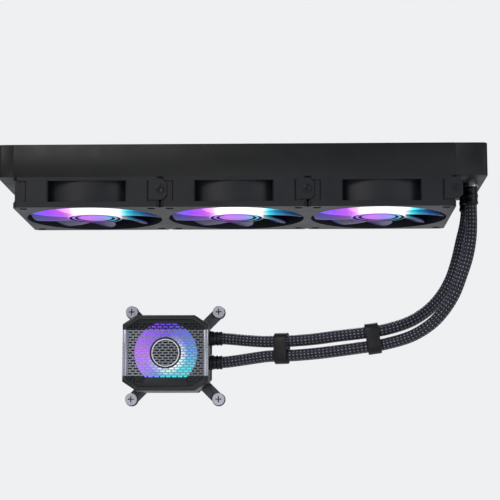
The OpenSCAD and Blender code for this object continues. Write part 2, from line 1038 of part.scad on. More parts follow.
module retention_bracket() {
    color("#8b8d92")
        place_socket()
            difference() {
                translate([0, 0, arm_z])
                    linear_extrude(height = bracket_t)
                        difference() {
                            union() {
                                square_outline(2 * housing_half + 7, housing_cut + 2);
                                for (a = [45:90:315])
                                    rotate([0, 0, a])
                                        translate([socket_pitch * 0.35, -arm_w / 2])
                                            square([socket_pitch * sqrt(2) / 2 - socket_pitch * 0.35, arm_w]);
                                for (sx = [-1, 1], sy = [-1, 1])
                                    translate([sx * socket_pitch / 2, sy * socket_pitch / 2])
                                        circle(r = arm_w / 2 + 0.7);
                            }
                            square_outline(2 * housing_half + 0.2, housing_cut);
                        }
                for (sx = [-1, 1], sy = [-1, 1])
                    translate([sx * socket_pitch / 2, sy * socket_pitch / 2, 0])
                        cylinder(r = captive_d / 2 + run_gap, h = 30);
            }
}

module place_captive(i) {
    sx = i == 1 || i == 3 ? -1 : 1;
    sy = i <= 2 ? 1 : -1;
    place_socket()
        translate([sx * socket_pitch / 2, sy * socket_pitch / 2, 0])
            children();
}

module captive_screw(i) {
    color("silver")
        place_captive(i)
            difference() {
                union() {
                    translate([0, 0, spring_top + 0.3])
                        cylinder(r = head_r, h = 3.4);
                    translate([0, 0, -3])
                        cylinder(r = captive_d / 2, h = arm_z - neck_gap + 3);
                    translate([0, 0, arm_z - neck_gap - 1])
                        cylinder(r = neck_r, h = spring_top - arm_z + neck_gap + 2);
                }
                translate([0, 0, spring_top + 2.2])
                    cross_recess(2.6, 2);
            }
}

// A round-wire spring: coil radius, height and number of turns
module spring(r, h, turns, wire) {
    n = turns * 12;
    m = 6;
    polyhedron(
        points = [for (i = [0:n], k = [0:m - 1])
            let (a = 30 * i, b = 360 * k / m, q = r + wire * cos(b))
            [q * cos(a), q * sin(a), wire + (h - 2 * wire) * i / n + wire * sin(b)]],
        faces = concat(
            [[for (k = [0:m - 1]) k]],
            [[for (k = [m - 1:-1:0]) n * m + k]],
            [for (i = [0:n - 1], k = [0:m - 1])
                [i * m + (k + 1) % m, i * m + k, (i + 1) * m + k, (i + 1) * m + (k + 1) % m]]
        )
    );
}

module screw_springs() {
    color("silver")
        for (i = [1:4])
            place_captive(i)
                translate([0, 0, arm_z + bracket_t + 0.1])
                    spring(captive_d / 2 + 1.2, 4.8, 4, 0.45);
}

coolant_tubes();
folded_fins();
header_plates();
return_tank();
inlet_tank();
side_rails();
fill_plug();
fill_plug_seal();
radiator_barbs();
radiator_collars();
pump_collars();
hose_upper();
hose_lower();
comb_by_pump();
comb_midway();
for (i = [1:3]) {
    color("#3a3b40") place_fan(i) fan_frame();
    color("#9a5cff") place_fan(i) fan_rotor();
    color("silver") place_fan(i) fan_shaft();
    color("#404040") place_fan(i) fan_magnet();
    color("gold") place_fan(i) fan_bearing();
    color("#b5651d") place_fan(i) fan_stator();
    color("darkgreen") place_fan(i) fan_board();
}
fan_screws();
link_screws();
cold_plate();
cold_plate_screws();
plate_gasket();
coolant_housing();
impeller();
impeller_pin();
pump_stator();
pump_board();
light_ring();
pump_shell();
pump_bezel();
mesh_cover();
side_strips();
badge_plate();
hose_fittings();
fitting_seals();
retention_bracket();
for (i = [1:4])
    captive_screw(i);
screw_springs();
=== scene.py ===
"""Looks of a closed-loop liquid cooler: radiator, three lit fans, two braided hoses and a lit pump head."""

import json
import logging
import math
from collections.abc import Callable, Iterable, Sequence
from dataclasses import dataclass, field
from enum import Enum

import bmesh
import bpy
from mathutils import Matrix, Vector

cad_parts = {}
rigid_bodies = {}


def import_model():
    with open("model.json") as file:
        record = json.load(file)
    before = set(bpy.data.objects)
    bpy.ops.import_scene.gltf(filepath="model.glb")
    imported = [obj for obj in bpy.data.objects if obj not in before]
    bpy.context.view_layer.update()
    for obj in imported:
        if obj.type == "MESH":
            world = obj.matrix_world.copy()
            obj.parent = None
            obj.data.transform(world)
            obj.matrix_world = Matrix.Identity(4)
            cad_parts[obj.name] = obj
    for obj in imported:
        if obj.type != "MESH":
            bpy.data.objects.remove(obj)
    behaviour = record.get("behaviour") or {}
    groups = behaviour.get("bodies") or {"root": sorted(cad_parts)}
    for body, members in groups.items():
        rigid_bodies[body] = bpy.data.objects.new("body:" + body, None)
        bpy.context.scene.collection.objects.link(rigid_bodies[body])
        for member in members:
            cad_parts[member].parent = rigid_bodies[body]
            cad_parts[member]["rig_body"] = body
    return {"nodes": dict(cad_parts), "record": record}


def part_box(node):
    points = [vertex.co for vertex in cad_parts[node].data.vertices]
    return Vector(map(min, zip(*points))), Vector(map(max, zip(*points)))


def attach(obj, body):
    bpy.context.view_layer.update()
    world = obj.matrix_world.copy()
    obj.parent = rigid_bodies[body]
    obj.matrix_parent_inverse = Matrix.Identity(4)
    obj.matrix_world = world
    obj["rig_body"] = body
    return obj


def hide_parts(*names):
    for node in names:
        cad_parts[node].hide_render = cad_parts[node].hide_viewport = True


log = logging.getLogger("cooler")
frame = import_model()

MM = 0.001
NODES: dict[str, bpy.types.Object] = frame["nodes"]
Point = tuple[float, float, float]
Colour = tuple[float, float, float]
Socket = bpy.types.NodeSocket


def linear(code: str) -> Colour:
    """Turns a six-digit screen colour into linear light.

    Args:
        code: Red, green and blue as two hexadecimal digits each.

    Returns:
        Linear red, green and blue.
    """
    parts = [int(code[i : i + 2], 16) / 255 for i in (0, 2, 4)]
    return tuple(c / 12.92 if c <= 0.04045 else ((c + 0.055) / 1.055) ** 2.4 for c in parts)


def centre_of(node: str) -> Vector:
    """Gives the middle of a CAD node's box.

    Args:
        node: The node's name.

    Returns:
        The middle, in metres.
    """
    low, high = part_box(node)
    return (low + high) / 2


# Middle of the pump's eye, and the radii of its light ring
EYE = centre_of("mesh_cover")
RING_INNER = 13 * MM
RING_OUTER = 26.5 * MM

# Where most of a noise's values lie
NOISE_SPAN = (0.3, 0.7)


# ---------------------------------------------------------------- modelling


class Bench:
    """Edit-mode modelling helpers, each working on one object at a time."""

    @staticmethod
    def clear() -> None:
        """Deselects everything, because an operator acts on all that is selected."""
        if bpy.context.object and bpy.context.object.mode != "OBJECT":
            bpy.ops.object.mode_set(mode="OBJECT")
        bpy.ops.object.select_all(action="DESELECT")

    @staticmethod
    def take(piece: bpy.types.Object) -> None:
        """Makes a piece the only selected and the active one.

        Args:
            piece: The object to work on.
        """
        Bench.clear()
        piece.select_set(True)
        bpy.context.view_layer.objects.active = piece

    @staticmethod
    def started(name: str) -> bpy.types.Object:
        """Names the primitive that was just added.

        Args:
            name: The new piece's name.

        Returns:
            The piece.
        """
        piece = bpy.context.object
        piece.name = name
        piece.data.name = name
        return piece

    @staticmethod
    def pick_faces(piece: bpy.types.Object, test: Callable[[Vector, Vector], bool]) -> int:
        """Selects the faces whose middle and normal pass a test, in edit mode.

        Args:
            piece: The object being edited.
            test: Takes a face's middle and its normal.

        Returns:
            How many faces were selected.
        """
        bpy.ops.mesh.select_mode(type="FACE")
        bpy.ops.mesh.select_all(action="DESELECT")
        mesh = bmesh.from_edit_mesh(piece.data)
        count = 0
        for face in mesh.faces:
            face.select = bool(test(face.calc_center_median(), face.normal))
            count += face.select
        mesh.select_flush_mode()
        bmesh.update_edit_mesh(piece.data)
        return count

    @staticmethod
    def apply_modifier(piece: bpy.types.Object, kind: str, **values: object) -> None:
        """Adds one modifier and applies it.

        Args:
            piece: The object.
            kind: Blender's modifier type.
            values: The modifier's settings.
        """
        Bench.take(piece)
        modifier = piece.modifiers.new(kind.title(), kind)
        for key, value in values.items():
            setattr(modifier, key, value)
        bpy.ops.object.modifier_apply(modifier=modifier.name)

    @staticmethod
    def round_edges(piece: bpy.types.Object, width: float, angle: float, **values: object) -> None:
        """Rounds a piece's sharp edges.

        Args:
            piece: The object.
            width: Width of the rounding, in metres.
            angle: Edges sharper than this are rounded, in degrees.
            values: The bevel's other settings.
        """
        limit = math.radians(angle)
        Bench.apply_modifier(
            piece, "BEVEL", width=width, segments=2, limit_method="ANGLE", angle_limit=limit, **values
        )

    @staticmethod
    def linked(name: str, data: bpy.types.Mesh) -> bpy.types.Object:
        """Puts a mesh into the scene as a new piece.

        Args:
            name: The piece's name.
            data: Its mesh.

        Returns:
            The piece.
        """
        piece = bpy.data.objects.new(name, data)
        bpy.context.scene.collection.objects.link(piece)
        return piece

    @staticmethod
    def piece_from(name: str, mesh: bmesh.types.BMesh) -> bpy.types.Object:
        """Turns a mesh that was built face by face into a piece, with its faces outwards.

        Args:
            name: The piece's name.
            mesh: The mesh, which is freed.

        Returns:
            The piece.
        """
        bmesh.ops.recalc_face_normals(mesh, faces=mesh.faces)
        data = bpy.data.meshes.new(name)
        mesh.to_mesh(data)
        mesh.free()
        return Bench.linked(name, data)

    @staticmethod
    def settle(piece: bpy.types.Object, smooth_angle: float = 30) -> bpy.types.Object:
        """Puts a piece's place into its mesh and smooths its shading by angle.

        Args:
            piece: The object.
            smooth_angle: Edges sharper than this stay sharp, in degrees.

        Returns:
            The same piece.
        """
        Bench.take(piece)
        bpy.ops.object.transform_apply(location=True, rotation=True, scale=True)
        bpy.ops.object.shade_smooth_by_angle(angle=math.radians(smooth_angle))
        return piece

    @staticmethod
    def softened(node: str, width: float) -> bpy.types.Object:
        """Copies a CAD node and rounds its sharp edges, as moulding or tumbling does.

        Args:
            node: The CAD node's name.
            width: Width of the rounding, in metres.

        Returns:
            The new piece, which replaces the node.
        """
        source = NODES[node]
        piece = Bench.linked(f"{node}_finished", source.data.copy())
        piece.data.materials.clear()
        Bench.take(piece)
        bpy.ops.object.mode_set(mode="EDIT")
        bpy.ops.mesh.select_all(action="SELECT")
        bpy.ops.mesh.remove_doubles(threshold=2e-6)
        bpy.ops.mesh.dissolve_limited(angle_limit=math.radians(1.5))
        bpy.ops.object.mode_set(mode="OBJECT")
        Bench.round_edges(piece, width, 35, use_clamp_overlap=True, miter_outer="MITER_ARC")
        Bench.settle(piece, 40)
        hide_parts(node)
        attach(piece, source["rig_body"])
        return piece


def dress(piece: bpy.types.Object, material: bpy.types.Material, slot: str | None = None) -> bpy.types.Object:
    """Gives a piece one material, and logs the piece and its material when a slot is given.

    Args:
        piece: The object, new or a CAD node.
        material: The finish.
        slot: The record's material slot, for a new piece.

    Returns:
        The same piece.
    """
    piece.data.materials.clear()
    piece.data.materials.append(material)
    if slot:
        log.info("%s: finished in %s", piece.name, material.name)
    return piece


def soften(rows: Iterable[tuple[str, float, bpy.types.Material, str]]) -> None:
    """Rounds CAD nodes and gives each its finish.

    Args:
        rows: Node, width of the rounding in millimetres, finish and slot of each.
    """
    for node, width, material, slot in rows:
        dress(Bench.softened(node, width * MM), material, slot)


# ---------------------------------------------------------------- materials


class Tree:
    """Short calls for building a node tree."""

    def __init__(self, tree: bpy.types.NodeTree) -> None:
        """Holds the tree that the calls add to.

        Args:
            tree: A material's or a group's node tree.
        """
        self.tree = tree

    def add(self, kind: str, settings: dict[str, object] | None = None, **inputs: object) -> bpy.types.Node:
        """Adds a node, sets it up and links or fills its inputs.

        Args:
            kind: Blender's node type.
            settings: The node's own properties.
            inputs: Values or sockets, by input name with _ for a space, or by _N for input number N.

        Returns:
            The node.
        """
        node = self.tree.nodes.new(kind)
        for key, value in (settings or {}).items():
            setattr(node, key, value)
        for key, value in inputs.items():
            numbered = key[0] == "_" and key[1:].isdigit()
            self.feed(node.inputs[int(key[1:]) if numbered else key.replace("_", " ")], value)
        return node

    def feed(self, socket: Socket, value: object) -> None:
        """Links a socket, or fills it with a number, a vector or a colour.

        Args:
            socket: The input.
            value: An output socket or a plain value.
        """
        if isinstance(value, Socket):
            self.tree.links.new(value, socket)
        elif isinstance(value, (int, float)):
            socket.default_value = value
        else:
            value = tuple(value)
            want = len(socket.default_value)
            socket.default_value = value if len(value) == want else (*value, 1.0)

    def math(self, operation: str, a: object, b: object = 0.0, clamp: bool = False) -> Socket:
        """Adds a Math node.

        Args:
            operation: What it works out.
            a: First input.
            b: Second input.
            clamp: Whether the result is kept from 0 to 1.

        Returns:
            The result's socket.
        """
        return self.add("ShaderNodeMath", {"operation": operation, "use_clamp": clamp}, _0=a, _1=b).outputs[0]

    def choose(self, which: object, a: object, b: object) -> Socket:
        """Gives one of two numbers.

        Args:
            which: 1 gives a, 0 gives b.
            a: First number.
            b: Second number.

        Returns:
            The result's socket.
        """
        other = self.math("SUBTRACT", 1.0, which)
        return self.math("ADD", self.math("MULTIPLY", a, which), self.math("MULTIPLY", b, other))

    def mix(self, factor: object, a: object, b: object) -> Socket:
        """Mixes two colours.

        Args:
            factor: 0 gives a, 1 gives b.
            a: First colour.
            b: Second colour.

        Returns:
            The colour's socket.
        """
        node = self.add("ShaderNodeMix", {"data_type": "RGBA"})
        self.feed(node.inputs["Factor"], factor)
        self.feed(node.inputs[6], a)
        self.feed(node.inputs[7], b)
        return node.outputs[2]

    def ramp(self, factor: object, stops: Sequence[tuple[float, Colour]], smooth: bool = False) -> Socket:
        """Turns a number into a colour.

        Args:
            factor: Place along the ramp, 0 to 1.
            stops: Place and colour of each stop.
            smooth: Whether the colours ease into each other.

        Returns:
            The colour's socket.
        """
        node = self.add("ShaderNodeValToRGB", None, Fac=factor)
        node.color_ramp.interpolation = "EASE" if smooth else "LINEAR"
        elements = node.color_ramp.elements
        while len(elements) > 1:
            elements.remove(elements[-1])
        elements[0].position = stops[0][0]
        elements[0].color = (*stops[0][1], 1)
        for place, colour in stops[1:]:
            elements.new(place).color = (*colour, 1)
        return node.outputs[0]

    def between(self, value: object, low: float, high: float, to_low: float, to_high: float) -> Socket:
        """Maps a number from one range to another, kept inside it.

        Args:
            value: The number.
            low: Start of its range.
            high: End of its range.
            to_low: What the start becomes.
            to_high: What the end becomes.

        Returns:
            The result's socket.
        """
        ends = {"_1": low, "_2": high, "_3": to_low, "_4": to_high}
        return self.add("ShaderNodeMapRange", {"clamp": True}, _0=value, **ends).outputs[0]

    def split(self, vector: Socket) -> tuple[Socket, ...]:
        """Separates a vector.

        Args:
            vector: The vector's socket.

        Returns:
            The sockets of its X, Y and Z.
        """
        return tuple(self.add("ShaderNodeSeparateXYZ", None, _0=vector).outputs)

    def place(self) -> Socket:
        """Reads where each point is.

        Returns:
            The object coordinates, which are the shared frame's metres.
        """
        return self.add("ShaderNodeTexCoord").outputs["Object"]

    def normal(self) -> Socket:
        """Reads which way each point faces.

        Returns:
            The normal's socket.
        """
        return self.add("ShaderNodeNewGeometry").outputs["Normal"]


class Effect(Enum):
    """The shared effects, each a node group."""

    GRAIN = "moulded_grain"
    BRUSH = "brushed_lines"
    DUST = "settled_dust"
    BRAID = "hose_braid"
    ROTOR_GLOW = "rotor_glow"
    RING_GLOW = "ring_glow"


def new_group(
    effect: Effect, inputs: Iterable[tuple[str, str, float]], outputs: Iterable[tuple[str, str]]
) -> tuple:
    """Makes an empty node group with named sockets.

    Args:
        effect: Which effect it is.
        inputs: Name, kind (Float, Vector or Color) and starting value of each input.
        outputs: Name and kind of each output.

    Returns:
        The group, its tree helper, its input node and its output node.
    """
    group = bpy.data.node_groups.new(effect.value, "ShaderNodeTree")
    for name, kind, start in inputs:
        socket = group.interface.new_socket(name=name, in_out="INPUT", socket_type=f"NodeSocket{kind}")
        if kind == "Float":
            socket.default_value = start
    for name, kind in outputs:
        group.interface.new_socket(name=name, in_out="OUTPUT", socket_type=f"NodeSocket{kind}")
    return group, Tree(group), group.nodes.new("NodeGroupInput"), group.nodes.new("NodeGroupOutput")


def make_grain() -> None:
    """Fine moulded grain: a height, and a slow patchiness for roughness."""
    _, tree, start, end = new_group(
        Effect.GRAIN, [("Scale", "Float", 1500.0)], [("Height", "Float"), ("Patches", "Float")]
    )
    place = tree.place()
    scale = start.outputs["Scale"]
    fine = tree.add("ShaderNodeTexNoise", None, Vector=place, Scale=scale, Detail=3.0, Roughness=0.6)
    cells = tree.add("ShaderNodeTexVoronoi", None, Vector=place, Scale=scale)
    slow = tree.add("ShaderNodeTexNoise", None, Vector=place, Scale=35.0, Detail=4.0, Roughness=0.55)
    broad = tree.math("MULTIPLY", fine.outputs[0], 0.6)
    sharp = tree.math("MULTIPLY", cells.outputs[0], 0.4)
    tree.feed(end.inputs["Height"], tree.math("ADD", broad, sharp))
    tree.feed(end.inputs["Patches"], slow.outputs[0])


def make_brush() -> None:
    """Brushed lines: noise stretched along one axis by the Stretch input."""
    _, tree, start, end = new_group(
        Effect.BRUSH,
        [("Stretch", "Vector", 0.0), ("Scale", "Float", 900.0)],
        [("Height", "Float"), ("Patches", "Float")],
    )
    scaled = tree.add("ShaderNodeMapping", None, Vector=tree.place(), Scale=start.outputs["Stretch"])
    scale = start.outputs["Scale"]
    lines = tree.add(
        "ShaderNodeTexNoise", None, Vector=scaled.outputs[0], Scale=scale, Detail=4.0, Roughness=0.65
    )
    slow = tree.add("ShaderNodeTexNoise", None, Vector=tree.place(), Scale=60.0, Detail=3.0)
    tree.feed(end.inputs["Height"], lines.outputs[0])
    tree.feed(end.inputs["Patches"], slow.outputs[0])


def make_dust() -> None:
    """Thin dust on faces that look up, broken up by noise."""
    _, tree, start, end = new_group(Effect.DUST, [("Amount", "Float", 0.3)], [("Mask", "Float")])
    _, _, up = tree.split(tree.normal())
    noise = tree.add("ShaderNodeTexNoise", None, Vector=tree.place(), Scale=160.0, Detail=6.0, Roughness=0.7)
    facing = tree.between(up, 0.3, 1.0, 0.0, 1.0)
    speckle = tree.between(noise.outputs[0], 0.42, 0.68, 0.0, 1.0)
    mask = tree.math("MULTIPLY", tree.math("MULTIPLY", facing, speckle), start.outputs["Amount"], True)
    tree.feed(end.inputs["Mask"], mask)


def make_braid() -> None:
    """Crossing bundles of yarn, read from the hose's own UV map: U counts bundles, V counts crossings. Edge
    marks the bundles' edges for painted shade, and the last output marks the crowns of the bundles on top for
    painted highlights.
    """
    _, tree, _, end = new_group(
        Effect.BRAID, [], [("Height", "Float"), ("Over", "Float"), ("Edge", "Float"), ("Fleck", "Float")]
    )
    laid = tree.add("ShaderNodeUVMap", {"uv_map": "braid"}).outputs[0]
    u, v, _ = tree.split(laid)
    a = tree.math("ADD", u, v)
    b = tree.math("SUBTRACT", u, v)
    cell = tree.math("ADD", tree.math("FLOOR", a), tree.math("FLOOR", b))
    over = tree.math("MODULO", tree.math("ABSOLUTE", cell), 2.0)
    across_a = tree.math("SINE", tree.math("MULTIPLY", tree.math("FRACT", a), math.pi))
    across_b = tree.math("SINE", tree.math("MULTIPLY", tree.math("FRACT", b), math.pi))
    yarns = 5
    yarn_a = tree.math("SINE", tree.math("MULTIPLY", a, math.tau * yarns))
    yarn_b = tree.math("SINE", tree.math("MULTIPLY", b, math.tau * yarns))
    across = tree.choose(over, across_a, across_b)
    yarn = tree.choose(over, yarn_a, yarn_b)
    passing = tree.choose(over, across_b, across_a)
    wild = tree.add("ShaderNodeTexNoise", {"noise_dimensions": "2D"}, Vector=laid, Scale=1.3, Detail=2.0)
    tree.feed(end.inputs["Height"], tree.math("ADD", across, tree.math("MULTIPLY", yarn, 0.12)))
    tree.feed(end.inputs["Over"], over)
    # Edge falls to 0 along the bundles' edges, where the braid's material paints shade.
    tree.feed(end.inputs["Edge"], tree.between(across, 0.1, 0.6, 0.0, 1.0))
    # Painted highlight: a glint on the crown of each bundle that lies on top, where it passes over the other,
    # made uneven by noise.
    crown = tree.between(tree.math("MULTIPLY", across, passing), 0.5, 0.9, 0.0, 1.0)
    lone = tree.math("MULTIPLY", crown, over)
    chance = tree.between(wild.outputs[0], *NOISE_SPAN, 0.5, 1.3)
    tree.feed(end.inputs["Fleck"], tree.math("MULTIPLY", lone, chance))


ROTOR_STOPS = [
    (0.0, linear("2a0c8c")),
    (0.07, linear("4a1ae8")),
    (0.16, linear("8a1cff")),
    (0.26, linear("c84cff")),
    (0.33, linear("f0a0ff")),
    (0.37, linear("ffffff")),
    (0.70, linear("ffffff")),
    (0.745, linear("30e8f8")),
    (0.80, linear("149ac0")),
    (0.88, linear("145a90")),
    (1.0, linear("0c3048")),
]
HUB_STOPS = [
    (0.0, linear("7a20ff")),
    (0.35, linear("d050ff")),
    (0.62, linear("a070ff")),
    (0.82, linear("30b8f0")),
    (1.0, linear("1860a0")),
]


def make_rotor_glow() -> None:
    """Colour that the lamps inside the hub give each place on a rotor, which is lit from the pump's side."""
    _, tree, start, end = new_group(
        Effect.ROTOR_GLOW,
        [("Centre X", "Float", 0.0), ("Reach", "Float", 0.056)],
        [("Blade", "Color"), ("Hub", "Color")],
    )
    unlit = linear("0b1030")
    hub_share = 0.42
    place_x, place_y, _ = tree.split(tree.place())
    x = tree.math("SUBTRACT", place_x, start.outputs["Centre X"])
    across = tree.math("DIVIDE", x, start.outputs["Reach"])
    depth = tree.math("DIVIDE", place_y, start.outputs["Reach"])
    ramp = tree.ramp(tree.between(across, -1.0, 1.0, 0.0, 1.0), ROTOR_STOPS)
    near = tree.between(depth, -0.35, 0.55, 1.0, 0.0)
    tips = tree.between(tree.math("ABSOLUTE", across), 0.75, 1.0, 1.0, 0.55)
    fall = tree.math("MULTIPLY", tree.math("POWER", near, 1.6), tips)
    blade = tree.mix(fall, unlit, ramp)
    reach = tree.math("MULTIPLY", start.outputs["Reach"], hub_share)
    hub = tree.ramp(tree.between(tree.math("DIVIDE", x, reach), -1.0, 1.0, 0.0, 1.0), HUB_STOPS, True)
    tree.feed(end.inputs["Blade"], blade)
    tree.feed(end.inputs["Hub"], tree.mix(tree.between(depth, -0.5, 0.5, 0.0, 0.55), hub, unlit))


RING_STOPS = [
    (0.0, linear("b050e8")),
    (0.10, linear("9060f0")),
    (0.18, linear("4a78e0")),
    (0.25, linear("20c8d0")),
    (0.40, linear("20c8d0")),
    (0.50, linear("3f8fd8")),
    (0.62, linear("4050c8")),
    (0.75, linear("4a14b8")),
    (0.88, linear("7c30e0")),
    (1.0, linear("b050e8")),
]


def make_ring_glow() -> None:
    """Colour round the pump's light ring by angle, whiter towards its inner edge on the lower right."""
    _, tree, start, end = new_group(
        Effect.RING_GLOW,
        [
            ("Centre X", "Float", EYE.x),
            ("Centre Z", "Float", EYE.z),
            ("Inner", "Float", RING_INNER),
            ("Outer", "Float", RING_OUTER),
        ],
        [("Colour", "Color"), ("Mask", "Float"), ("Radius", "Float")],
    )
    place_x, _, place_z = tree.split(tree.place())
    x = tree.math("SUBTRACT", place_x, start.outputs["Centre X"])
    z = tree.math("SUBTRACT", place_z, start.outputs["Centre Z"])
    turn = tree.math("ARCTAN2", z, tree.math("MULTIPLY", x, -1.0))
    around = tree.between(turn, math.pi, -math.pi, 0.0, 1.0)
    shifted = tree.math("FRACT", tree.math("ADD", around, 0.5))
    ramp = tree.ramp(shifted, RING_STOPS)
    radius = tree.math("SQRT", tree.math("ADD", tree.math("MULTIPLY", x, x), tree.math("MULTIPLY", z, z)))
    span = tree.math("SUBTRACT", start.outputs["Outer"], start.outputs["Inner"])
    along = tree.math("DIVIDE", tree.math("SUBTRACT", radius, start.outputs["Inner"]), span)
    lean = tree.between(tree.math("SUBTRACT", x, z), -0.012, 0.022, 0.0, 1.0)
    white = tree.math("MULTIPLY", tree.between(along, 0.02, 0.4, 0.85, 0.0), lean, True)
    inside = tree.between(along, -0.02, 0.02, 0.0, 1.0)
    outside = tree.between(along, 0.94, 1.04, 1.0, 0.0)
    tree.feed(end.inputs["Colour"], tree.mix(white, ramp, (1.0, 1.0, 1.0)))
    tree.feed(end.inputs["Mask"], tree.math("MULTIPLY", inside, outside))
    tree.feed(end.inputs["Radius"], radius)


def build_effects() -> None:
    """Builds every shared effect once."""
    make_grain()
    make_brush()
    make_dust()
    make_braid()
    make_rotor_glow()
    make_ring_glow()


def use_effect(tree: Tree, effect: Effect, **inputs: object) -> bpy.types.Node:
    """Places a shared effect in a material.

    Args:
        tree: The material's tree helper.
        effect: Which effect.
        inputs: Values for the group's inputs, with _ for a space.

    Returns:
        The group node.
    """
    node = tree.tree.nodes.new("ShaderNodeGroup")
    node.node_tree = bpy.data.node_groups[effect.value]
    for key, value in inputs.items():
        tree.feed(node.inputs[key.replace("_", " ")], value)
    return node


@dataclass(frozen=True)
class Finish:
    """A surface's plain values, from which its material is made."""

    name: str
    colour: str
    roughness: float
    metallic: float = 0.0
    variation: float = 0.12
    bump: float = 0.1
    grain: float = 1500.0
    dust: float = 0.0
    coat: float = 0.0
    gloss: float = 0.5

    def start(self) -> tuple[bpy.types.Material, Tree, bpy.types.Node]:
        """Makes an empty material with a Principled shader.

        Returns:
            The material, its tree helper and the shader node.
        """
        material = bpy.data.materials.new(self.name)
        material.use_nodes = True
        tree = Tree(material.node_tree)
        shader = material.node_tree.nodes["Principled BSDF"]
        shader.inputs["Metallic"].default_value = self.metallic
        shader.inputs["Coat Weight"].default_value = self.coat
        shader.inputs["Specular IOR Level"].default_value = self.gloss
        return material, tree, shader

    def tint(self, tree: Tree, patches: Socket) -> Socket:
        """Varies the base colour slowly over the surface, with dust on top of it.

        Args:
            tree: The material's tree helper.
            patches: A slow noise, 0 to 1.

        Returns:
            The colour's socket.
        """
        base = linear(self.colour)
        dark = tuple(c * (1 - self.variation) for c in base)
        light = tuple(min(1.0, c * (1 + self.variation)) for c in base)
        colour = tree.mix(tree.between(patches, *NOISE_SPAN, 0.0, 1.0), dark, light)
        if self.dust:
            mask = use_effect(tree, Effect.DUST, Amount=self.dust).outputs["Mask"]
            colour = tree.mix(mask, colour, linear("8c8a86"))
        return colour

    def roughen(self, tree: Tree, patches: Socket) -> Socket:
        """Varies the roughness slowly over the surface.

        Args:
            tree: The material's tree helper.
            patches: A slow noise, 0 to 1.

        Returns:
            The roughness's socket.
        """
        return tree.between(patches, *NOISE_SPAN, self.roughness * 0.86, min(1.0, self.roughness * 1.14))

    def paint(self, tree: Tree, shader: bpy.types.Node, patches: Socket) -> None:
        """Gives the shader its varied colour and roughness.

        Args:
            tree: The material's tree helper.
            shader: The material's shader.
            patches: A slow noise, 0 to 1.
        """
        tree.feed(shader.inputs["Base Color"], self.tint(tree, patches))
        tree.feed(shader.inputs["Roughness"], self.roughen(tree, patches))

    def raise_grain(self, tree: Tree, shader: bpy.types.Node, height: Socket, distance: float) -> None:
        """Gives the shader a bumped normal.

        Args:
            tree: The material's tree helper.
            shader: The material's shader.
            height: The bump's height, 0 to 1.
            distance: How far a full height stands out, in metres.
        """
        bump = tree.add("ShaderNodeBump", None, Strength=self.bump, Distance=distance, Height=height)
        tree.feed(shader.inputs["Normal"], bump.outputs[0])

    def build(self) -> bpy.types.Material:
        """Makes the material: moulded, cast or painted, with a fine grain.

        Returns:
            The material.
        """
        material, tree, shader = self.start()
        grain = use_effect(tree, Effect.GRAIN, Scale=self.grain)
        self.paint(tree, shader, grain.outputs["Patches"])
        self.raise_grain(tree, shader, grain.outputs["Height"], 0.0002)
        return material


@dataclass(frozen=True)
class BrushedFinish(Finish):
    """A metal with lines brushed along one axis."""

    stretch: Point = (0.02, 1.0, 1.0)

    def build(self) -> bpy.types.Material:
        """Makes the material.

        Returns:
            The material.
        """
        material, tree, shader = self.start()
        brush = use_effect(tree, Effect.BRUSH, Stretch=self.stretch, Scale=self.grain)
        self.paint(tree, shader, brush.outputs["Patches"])
        self.raise_grain(tree, shader, brush.outputs["Height"], 0.0001)
        return material


@dataclass(frozen=True)
class RecessShadeFinish(Finish):
    """A screw head's plating, with the cross recess that lies behind its front face painted near black as
    shade.
    """

    front_y: float = 0.0
    cross_depth: float = 0.3 * MM

    def build(self) -> bpy.types.Material:
        """Makes the material.

        Returns:
            The material.
        """
        material, tree, shader = self.start()
        grain = use_effect(tree, Effect.GRAIN, Scale=self.grain)
        _, y, _ = tree.split(tree.place())
        _, facing, _ = tree.split(tree.normal())
        behind = tree.math("GREATER_THAN", y, self.front_y + self.cross_depth)
        forward = tree.math("LESS_THAN", facing, -0.5)
        recess = tree.math("MULTIPLY", behind, forward)
        plated = self.tint(tree, grain.outputs["Patches"])
        # Painted shade: the floor of the cross recess, facing forward from behind the front face, turns near
        # black.
        tree.feed(shader.inputs["Base Color"], tree.mix(recess, plated, linear("08080a")))
        tree.feed(shader.inputs["Roughness"], self.roughen(tree, grain.outputs["Patches"]))
        return material


@dataclass(frozen=True)
class BraidFinish(Finish):
    """Tight dark nylon braid, with painted highlights where the yarns turn over, painted shade along the
    bundles' edges, and a violet tint that is a painted reflection of the fans' light.
    """

    def build(self) -> bpy.types.Material:
        """Makes the material.

        Returns:
            The material.
        """
        material, tree, shader = self.start()
        braid = use_effect(tree, Effect.BRAID)
        # Dark nylon tinted violet, the tint a painted reflection of the fans' light, a little lighter in
        # every other cell.
        base = tree.mix(braid.outputs["Over"], linear("0a0914"), linear("110f20"))
        # Painted highlights on the crowns of the bundles on top.
        highlighted = tree.mix(tree.math("MULTIPLY", braid.outputs["Fleck"], 0.6, True), base, linear("a0a0b8"))
        # Painted shade along the bundles' edges.
        shaded = tree.mix(braid.outputs["Edge"], linear("030304"), highlighted)
        tree.feed(shader.inputs["Base Color"], shaded)
        shine = tree.between(braid.outputs["Fleck"], 0.0, 1.0, self.roughness, 0.2)
        tree.feed(shader.inputs["Roughness"], shine)
        shader.inputs["Sheen Weight"].default_value = 0.08
        self.raise_grain(tree, shader, braid.outputs["Height"], 0.0003)
        return material


